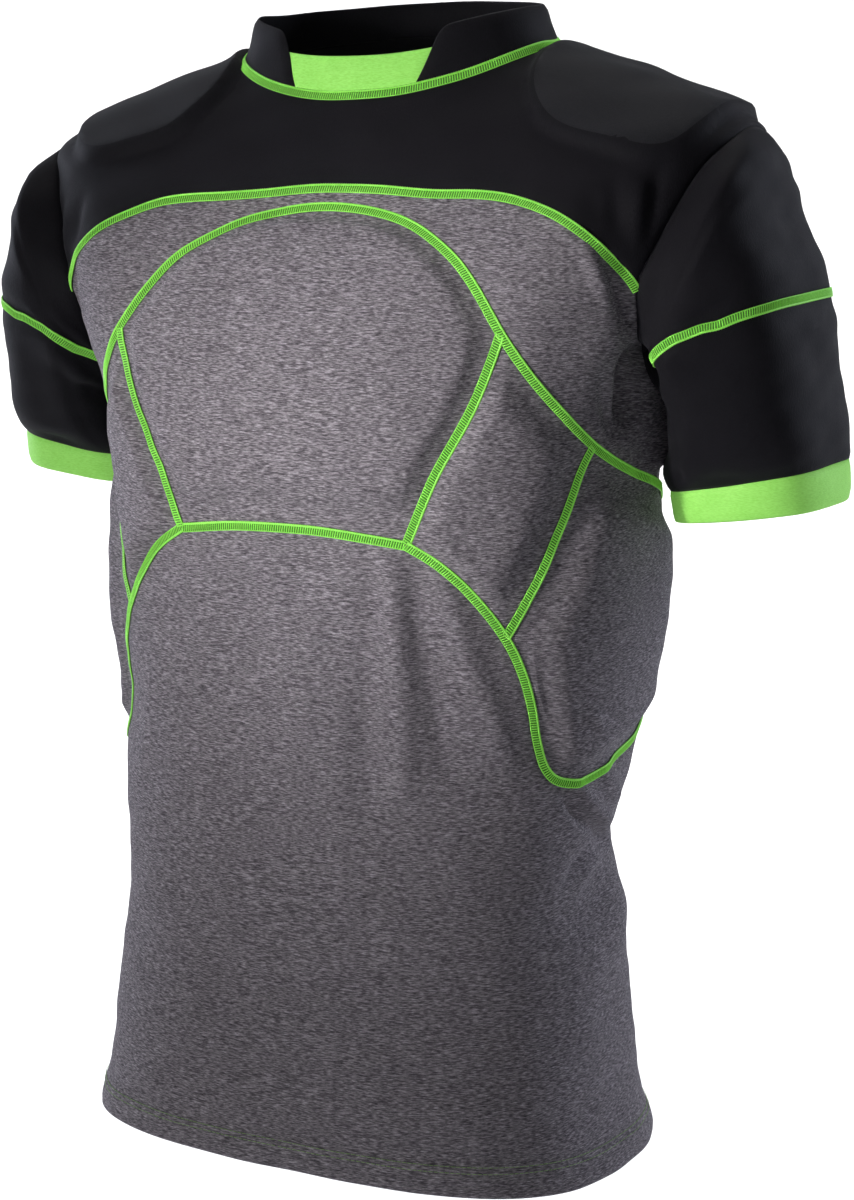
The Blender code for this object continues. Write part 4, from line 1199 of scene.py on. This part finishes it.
def add_flatlock(name, points, normals, closed=False, trim=(0.0, 0.0)):
    """A flat seam of thread: a bed whose dark green paints the shade between the threads, two rows of
    chain and the slanting threads between them.
    """
    lengths = run_lengths(points)
    total = lengths[-1] + (np.linalg.norm(points[0] - points[-1]) if closed else 0.0)
    if closed:
        points = np.concatenate((points, points[:1]))
        normals = np.concatenate((normals, normals[:1]))
        lengths = np.append(lengths, total)
    count = max(4, round((total - sum(trim)) / STITCH_PITCH))
    along = np.linspace(trim[0], total - trim[1], 2 * count + 1)
    along = along[:-1] if closed else along
    line = rows_at(along, lengths, points)
    up = unit(rows_at(along, lengths, normals))
    if closed:
        run = unit(np.roll(line, -1, axis=0) - np.roll(line, 1, axis=0))
    else:
        run = unit(np.gradient(line, axis=0))
    aside = unit(np.cross(up, run))
    bed = tubes(
        (line + up * BED_HEIGHT)[None], up[None], SEAM_HALF_WIDTH, BED_HALF_THICKNESS, BED_SIDES, closed
    )
    meshes = [bed]
    beat = np.where(np.arange(len(line)) % 2 == 0, 1.0, CHAIN_WAIST)
    for chain in CHAINS:
        middle = line + aside * chain.offset + up * chain.height
        sizes = chain.half_width * beat, chain.half_height * beat
        meshes.append(tubes(middle[None], up[None], *sizes, CHAIN_SIDES, closed))
    share = np.linspace(-1.0, 1.0, RUNG_PARTS)[None, :, None]
    first = line[::2, None]
    slant = run[::2, None] * share * RUNG_SLANT * STITCH_PITCH
    arch = up[::2, None] * (RUNG_HEIGHT - RUNG_ARCH * share**2)
    rungs = first + aside[::2, None] * share * SEAM_HALF_WIDTH * RUNG_SPAN + slant + arch
    ups = np.broadcast_to(up[::2, None], rungs.shape)
    meshes.append(tubes(rungs, ups, RUNG_RADIUS, RUNG_RADIUS, RUNG_SIDES))
    verts, faces = merged(*meshes)
    finish = np.zeros(len(faces), int)
    # the bed takes the dark green: painted shade under and between the stitches
    finish[: len(bed[1])] = 1
    obj = new_piece(name, verts, faces, ["green_thread", "green_bed_painted_shade"], finish)
    return obj


def add_stitch_row(name, points, normals, finish):
    """A closed row of single stitches, each dipping into the cloth at its ends."""
    line, along = evenly(points, HEM_STITCH / HEM_STITCH_PARTS, closed=True)
    lengths = run_lengths(points)
    up = unit(rows_at(along, lengths, normals))
    count = len(line) // HEM_STITCH_PARTS
    starts = np.arange(count) * HEM_STITCH_PARTS
    index = (starts[:, None] + np.arange(HEM_STITCH_PARTS)) % len(line)
    share = np.linspace(-1.0, 1.0, HEM_STITCH_PARTS)
    height = HEM_THREAD * (HEM_THREAD_TOP - HEM_THREAD_DIP * share**4)
    centres = line[index] + up[index] * height[None, :, None]
    verts, faces = tubes(centres, up[index], HEM_THREAD, HEM_THREAD, HEM_THREAD_SIDES)
    obj = new_piece(name, verts, faces, [finish])
    return obj


def add_body_panels():
    """The yoke, the collar and the panels of the trunk."""
    armholes = {**armhole_normals(1)[1], **armhole_normals(-1)[1]}
    neck = both_sides(joined(stretch("neck_front"), stretch("neck_rear")))
    yoke = both_sides(joined(
        stretch("front_yoke"),
        armhole_stretch(FRONT_YOKE_TURN, BACK_YOKE_TURN - 360),
        stretch("back_yoke"),
    ))
    add_panel(
        "yoke", [yoke, neck], "black_knit", rise=lambda points, places: shoulder_pad_rise(points),
        seam_normals=armholes, step=FINE_STEP, rims=shoulder_rims(),
        # the pads' flat tops take the lighter black knit: painted light from above
        painted_light=lambda points: shoulder_inward(points) > SHOULDER_PAD_EDGE,
    )
    upper_chest = both_sides(joined(
        stretch("front_yoke"),
        armhole_stretch(FRONT_YOKE_TURN, SIDE_SEAM_TURN),
        stretch("side_top"),
        stretch("arch", end="side_top"),
    ))
    add_panel("upper_chest", [upper_chest], "grey_marl", seam_normals=armholes, step=FINE_STEP)
    chest_sides = [
        (mirrored("arch", end="chest_top"), 1.0),
        (stretch("chest_side"), 1.0),
        (stretch("chest_side") * (-1.0, 1.0), 1.0),
        (mirrored("chest_low"), CHEST_LOW_SOFTNESS),
    ]
    chest = both_sides(joined(
        stretch("arch", end="chest_top"), stretch("chest_side"), stretch("chest_low"),
    ))
    add_panel(
        "chest", [chest], "grey_marl",
        rise=lambda points, places: pad_rise(PANEL_PADS["chest"], chest_sides, points),
    )
    front_lower = both_sides(joined(
        stretch("chest_low"),
        stretch("rib_low", end="side_low"),
        stretch("side_low"),
        stretch("hem_front"),
    ))
    add_panel(
        "front_lower", [front_lower], "grey_marl", rise=hem_rise, free=[mirrored("hem_front")],
        step=FINE_STEP,
    )
    back = both_sides(joined(
        stretch("back_yoke"),
        armhole_stretch(BACK_YOKE_TURN, SIDE_SEAM_TURN),
        stretch("side_top"),
        stretch("arch", start="side_top"),
        stretch("rib_low", start="side_low"),
        stretch("side_low"),
        stretch("hem_rear"),
    ))
    add_panel(
        "back", [back], "grey_marl", rise=hem_rise, free=[mirrored("hem_rear")], seam_normals=armholes
    )
    collar = both_sides(joined(stretch("neck_rear"), stretch("insert_edge"), stretch("collar_rim")))
    add_panel(
        "collar", [collar], "black_knit",
        free=[mirrored("collar_rim"), stretch("insert_edge"), stretch("insert_edge") * (-1.0, 1.0)],
    )
    insert = both_sides(joined(stretch("neck_front"), stretch("insert_edge"), stretch("insert_rim")))
    add_panel(
        "collar_insert", [insert], "green_elastic", free=[mirrored("insert_rim")], base=INSERT_WALL
    )


def add_rib_panels(label, side):
    """The two padded rib panels of one side."""
    front = [
        (stretch("arch", start="chest_top", end="rib_top"), RIB_TOP_SOFTNESS),
        (stretch("rib_divider"), RIB_TOP_SOFTNESS),
        (stretch("rib_low", start="chest_low", end="rib_low"), 1.0),
        (stretch("chest_side"), 1.0),
    ]
    rear = [
        (stretch("arch", start="rib_top"), RIB_TOP_SOFTNESS),
        (stretch("rib_low", start="rib_low"), RIB_LOW_SOFTNESS),
        (stretch("rib_divider"), RIB_TOP_SOFTNESS),
    ]
    for name, sides in (("rib_front", front), ("rib_side", rear)):
        here = [(path * (side, 1.0), softness) for path, softness in sides]
        edge = joined(*(path for path, softness in sides))
        pad = PANEL_PADS[name]
        add_panel(
            f"{name}_{label}", [one_side(edge, side)], "grey_marl", step=FINE_STEP,
            rims=() if pad.crest else rib_rim_rows(side),
            crest=pad.inset + pad.edge if pad.crest else None,
            rise=lambda points, places: pad_rise(pad, here, points),
        )


def add_sleeve(label, side):
    """The padded cap, the padded lower sleeve and the cuff of one side."""
    around = np.arange(0.0, 360.0, ARMHOLE_STEP)
    over = np.arange(-CAP_END_TURN, CAP_END_TURN + ARMHOLE_STEP, ARMHOLE_STEP, dtype=float)
    top = np.zeros(len(over))
    cap_pad = (CAP_PAD_TOP_STATION, cap_station(over) - SLEEVE_PAD_SEAM_INSET, CAP_PAD_HALF_TURN)
    add_sleeve_piece(
        f"upper_sleeve_{label}", side, over, top, cap_station(over), "black_knit", WALL, cap_pad
    )
    low = np.full(len(around), SLEEVE_END_STATION)
    low_pad = (
        cap_station(around) + SLEEVE_PAD_SEAM_INSET, low - SLEEVE_PAD_SEAM_INSET, LOW_PAD_HALF_TURN
    )
    add_sleeve_piece(
        f"lower_sleeve_{label}", side, around, cap_station(around), low, "black_knit", WALL, low_pad
    )
    end = np.full(len(around), CUFF_END_STATION)
    add_sleeve_piece(
        f"cuff_{label}", side, around, low, end, "green_elastic", CUFF_WALL, free_end=True
    )


def mirrored(name, start=None, end=None, step=EDGE_STEP):
    """Places along a seam that crosses the centre line, from the right side to the left."""
    half = stretch(name, start, end, step)
    return np.concatenate((half[:0:-1] * (-1.0, 1.0) + (2.0 * half[0, 0], 0.0), half))


def hem_rise(points, places):
    """The hem's turned-up band is a little thicker, down to its rounded edge."""
    return HEM_BAND_RISE * smooth_step((HEM_BAND - places[:, 1]) / LATTICE_STEP)


def on_cloth(places, rise=0.0):
    """Points on the outside of the body's cloth, with their normals."""
    inner = body(*places.T)
    normals = surface_frame(body, *places.T)[2]
    return inner + normals * (lift(inner) + WALL + rise)[:, None], normals


def add_sewing():
    """The seams that show as green thread, and the hem's stitches."""
    step = 0.5 * STITCH_PITCH
    for name, label in (("front_yoke", "yoke_front"), ("back_yoke", "yoke_back"), ("arch", "arch")):
        add_flatlock(f"seam_{label}", *on_cloth(mirrored(name, step=step)))
    butt = (SEAM_BUTT, SEAM_BUTT)
    add_flatlock("seam_chest_low", *on_cloth(mirrored("chest_low", step=step)), trim=butt)
    neck = both_sides(joined(stretch("neck_front", step=step), stretch("neck_rear", step=step)))
    add_flatlock("seam_neck", *on_cloth(neck), closed=True)
    turns = np.arange(-CAP_END_TURN, CAP_END_TURN + 0.5 * SEAM_TURN_STEP, SEAM_TURN_STEP)
    for label, side in (("left", 1), ("right", -1)):
        for name in ("chest_side", "rib_divider", "rib_low"):
            path = stretch(name, step=step) * (side, 1.0)
            trim = butt if name != "rib_low" else (0.0, SEAM_BUTT)
            add_flatlock(f"seam_{name}_{label}", *on_cloth(path), trim=trim)
        stations = cap_station(turns)[None]
        inner = sleeve_surface(side, turns, stations)[0]
        normals = sleeve_normals(side, turns, stations)[0]
        add_flatlock(f"seam_sleeve_{label}", inner + normals * (lift(inner) + WALL)[:, None], normals)
    angles = np.radians(np.arange(0.0, 360.0, 1.0))
    for index, level in enumerate(HEM_STITCH_LEVELS):
        places = np.stack((angles, np.full(len(angles), level)), axis=-1)
        add_stitch_row(f"hem_stitches_{index + 1}", *on_cloth(places, HEM_BAND_RISE), "hem_thread")


def shader_of(finish):
    """A new material's node tree and its Principled shader, with what is the same all over set."""
    material = bpy.data.materials.new(f"scene_{finish.name}")
    material.use_nodes = True
    material.diffuse_color = (*finish.colour, 1.0)
    shader = material.node_tree.nodes["Principled BSDF"]
    for key, value in (
        ("Base Color", (*finish.colour, 1.0)),
        ("Roughness", finish.roughness),
        ("Specular IOR Level", finish.specular),
        ("Sheen Weight", finish.sheen),
        ("Sheen Roughness", SHEEN_ROUGHNESS),
        ("Sheen Tint", (*finish.tint, 1.0)),
        ("Emission Color", (*finish.colour, 1.0)),
        ("Emission Strength", finish.glow),
    ):
        shader.inputs[key].default_value = value
    return material.node_tree, shader


def node(tree, kind, settings=None, inputs=None, links=None):
    """A node with its settings, fixed inputs and linked inputs."""
    made = tree.nodes.new(kind)
    for key, value in (settings or {}).items():
        setattr(made, key, value)
    for key, value in (inputs or {}).items():
        made.inputs[key].default_value = value
    for key, socket in (links or {}).items():
        tree.links.new(socket, made.inputs[key])
    return made


def noise(tree, place, layer):
    """Noise over the object's own coordinates, drawn out along some of them."""
    mapping = node(tree, "ShaderNodeMapping", None, {"Scale": layer.stretch}, {"Vector": place})
    sizes = {"Scale": layer.scale, "Detail": layer.detail, "Roughness": layer.roughness}
    return node(
        tree, "ShaderNodeTexNoise", {"noise_dimensions": "3D"}, sizes, {"Vector": mapping.outputs[0]}
    ).outputs["Fac"]


def ramp(tree, value, stops):
    """Colours along a value: (position, colour) stops."""
    made = node(tree, "ShaderNodeValToRGB", None, None, {"Fac": value})
    elements = made.color_ramp.elements
    while len(elements) < len(stops):
        elements.new(0.5)
    for element, (position, colour) in zip(elements, stops):
        element.position = position
        element.color = (*colour, 1.0)
    return made.outputs["Color"]


def make_materials():
    """Every finish, with its colours over noise and its bump."""
    for finish in FINISHES:
        tree, shader = shader_of(finish)
        if not finish.layers:
            continue
        place = node(tree, "ShaderNodeTexCoord").outputs["Object"]
        values = [noise(tree, place, layer) for layer in finish.layers]
        stops = [layer.stops for layer in finish.layers]
        colour, *others = [ramp(tree, *pair) for pair in zip(values, stops)]
        for other in others:
            kind = {"data_type": "RGBA", "blend_type": "MULTIPLY"}
            colour = node(tree, "ShaderNodeMix", kind, {0: 1.0}, {6: colour, 7: other}).outputs[2]
        tree.links.new(colour, shader.inputs["Base Color"])
        if finish.rough_range:
            low, high = finish.rough_range
            sizes = {"From Min": 0.3, "From Max": 0.7, "To Min": low, "To Max": high}
            rough = node(tree, "ShaderNodeMapRange", None, sizes, {"Value": values[-1]})
            tree.links.new(rough.outputs["Result"], shader.inputs["Roughness"])
        bump = node(
            tree, "ShaderNodeBump", None, {"Distance": finish.bump, "Strength": 1.0},
            {"Height": values[finish.bump_layer]},
        )
        tree.links.new(bump.outputs["Normal"], shader.inputs["Normal"])


def add_floor():
    """A round pale floor whose rim curves up all round."""
    profile = []
    for turn in np.radians(np.arange(0.0, 90.0 + FLOOR_CURVE_STEP / 2.0, FLOOR_CURVE_STEP)):
        out = FLOOR_RADIUS - FLOOR_CURVE + FLOOR_CURVE * math.sin(turn)
        profile.append((out, FLOOR_LEVEL + FLOOR_CURVE * (1.0 - math.cos(turn))))
    profile.append((FLOOR_RADIUS, FLOOR_TOP))
    turns = np.linspace(0.0, 2.0 * math.pi, FLOOR_PARTS, endpoint=False)
    verts = [(0.0, 0.0, FLOOR_LEVEL)]
    for out, height in profile:
        verts += [(out * math.cos(turn), out * math.sin(turn), height) for turn in turns]
    count = len(turns)
    faces = [(0, 1 + i, 1 + (i + 1) % count) for i in range(count)]
    for row in range(len(profile) - 1):
        low = 1 + row * count
        for i in range(count):
            j = (i + 1) % count
            faces.append((low + i, low + count + i, low + count + j, low + j))
    mesh = bpy.data.meshes.new("floor")
    mesh.from_pydata(verts, [], faces)
    mesh.materials.append(bpy.data.materials["scene_studio_floor"])
    mesh.shade_smooth()
    obj = bpy.data.objects.new("floor", mesh)
    bpy.context.scene.collection.objects.link(obj)


def add_lights():
    """The soft lights, the plain world and the view transform."""
    world = bpy.data.worlds.new("studio")
    world.use_nodes = True
    world.node_tree.nodes["Background"].inputs["Color"].default_value = (1.0, 1.0, 1.0, 1.0)
    world.node_tree.nodes["Background"].inputs["Strength"].default_value = WORLD_STRENGTH
    bpy.context.scene.world = world
    for row in LIGHTS:
        light = bpy.data.lights.new(row.name, "AREA")
        light.shape = "RECTANGLE"
        light.size, light.size_y = row.size
        light.energy = row.power
        light.spread = math.radians(row.spread)
        light.color = row.colour
        obj = bpy.data.objects.new(row.name, light)
        obj.location = row.place
        aim = Vector(row.target) - Vector(row.place)
        obj.rotation_euler = aim.to_track_quat("-Z", "Y").to_euler()
        bpy.context.scene.collection.objects.link(obj)
    bpy.context.scene.view_settings.view_transform = "Standard"


def add_camera():
    """The camera at the photograph's angle, for an image of 854 by 1200."""
    azimuth = math.radians(CAMERA_AZIMUTH)
    heading = math.radians(CAMERA_AZIMUTH + CAMERA_PAN)
    pitch = math.radians(CAMERA_PITCH)
    forward = Vector((
        -math.sin(heading) * math.cos(pitch), math.cos(heading) * math.cos(pitch), -math.sin(pitch)
    ))
    right = Vector((math.cos(heading), math.sin(heading), 0.0))
    up = right.cross(forward)
    camera = bpy.data.cameras.new("camera")
    camera.sensor_width = CAMERA_SENSOR
    camera.lens = CAMERA_LENS
    obj = bpy.data.objects.new("camera", camera)
    turn = Matrix((right, up, -forward)).transposed().to_4x4()
    place = (CAMERA_DISTANCE * math.sin(azimuth), -CAMERA_DISTANCE * math.cos(azimuth), CAMERA_HEIGHT)
    obj.matrix_world = Matrix.Translation(place) @ turn
    bpy.context.scene.collection.objects.link(obj)
    bpy.context.scene.camera = obj


CREASE_LINES = crease_lines()
add_camera()
make_materials()
add_body_panels()
for label, side in (("left", 1), ("right", -1)):
    add_rib_panels(label, side)
    add_sleeve(label, side)
add_sewing()
add_floor()
add_lights()
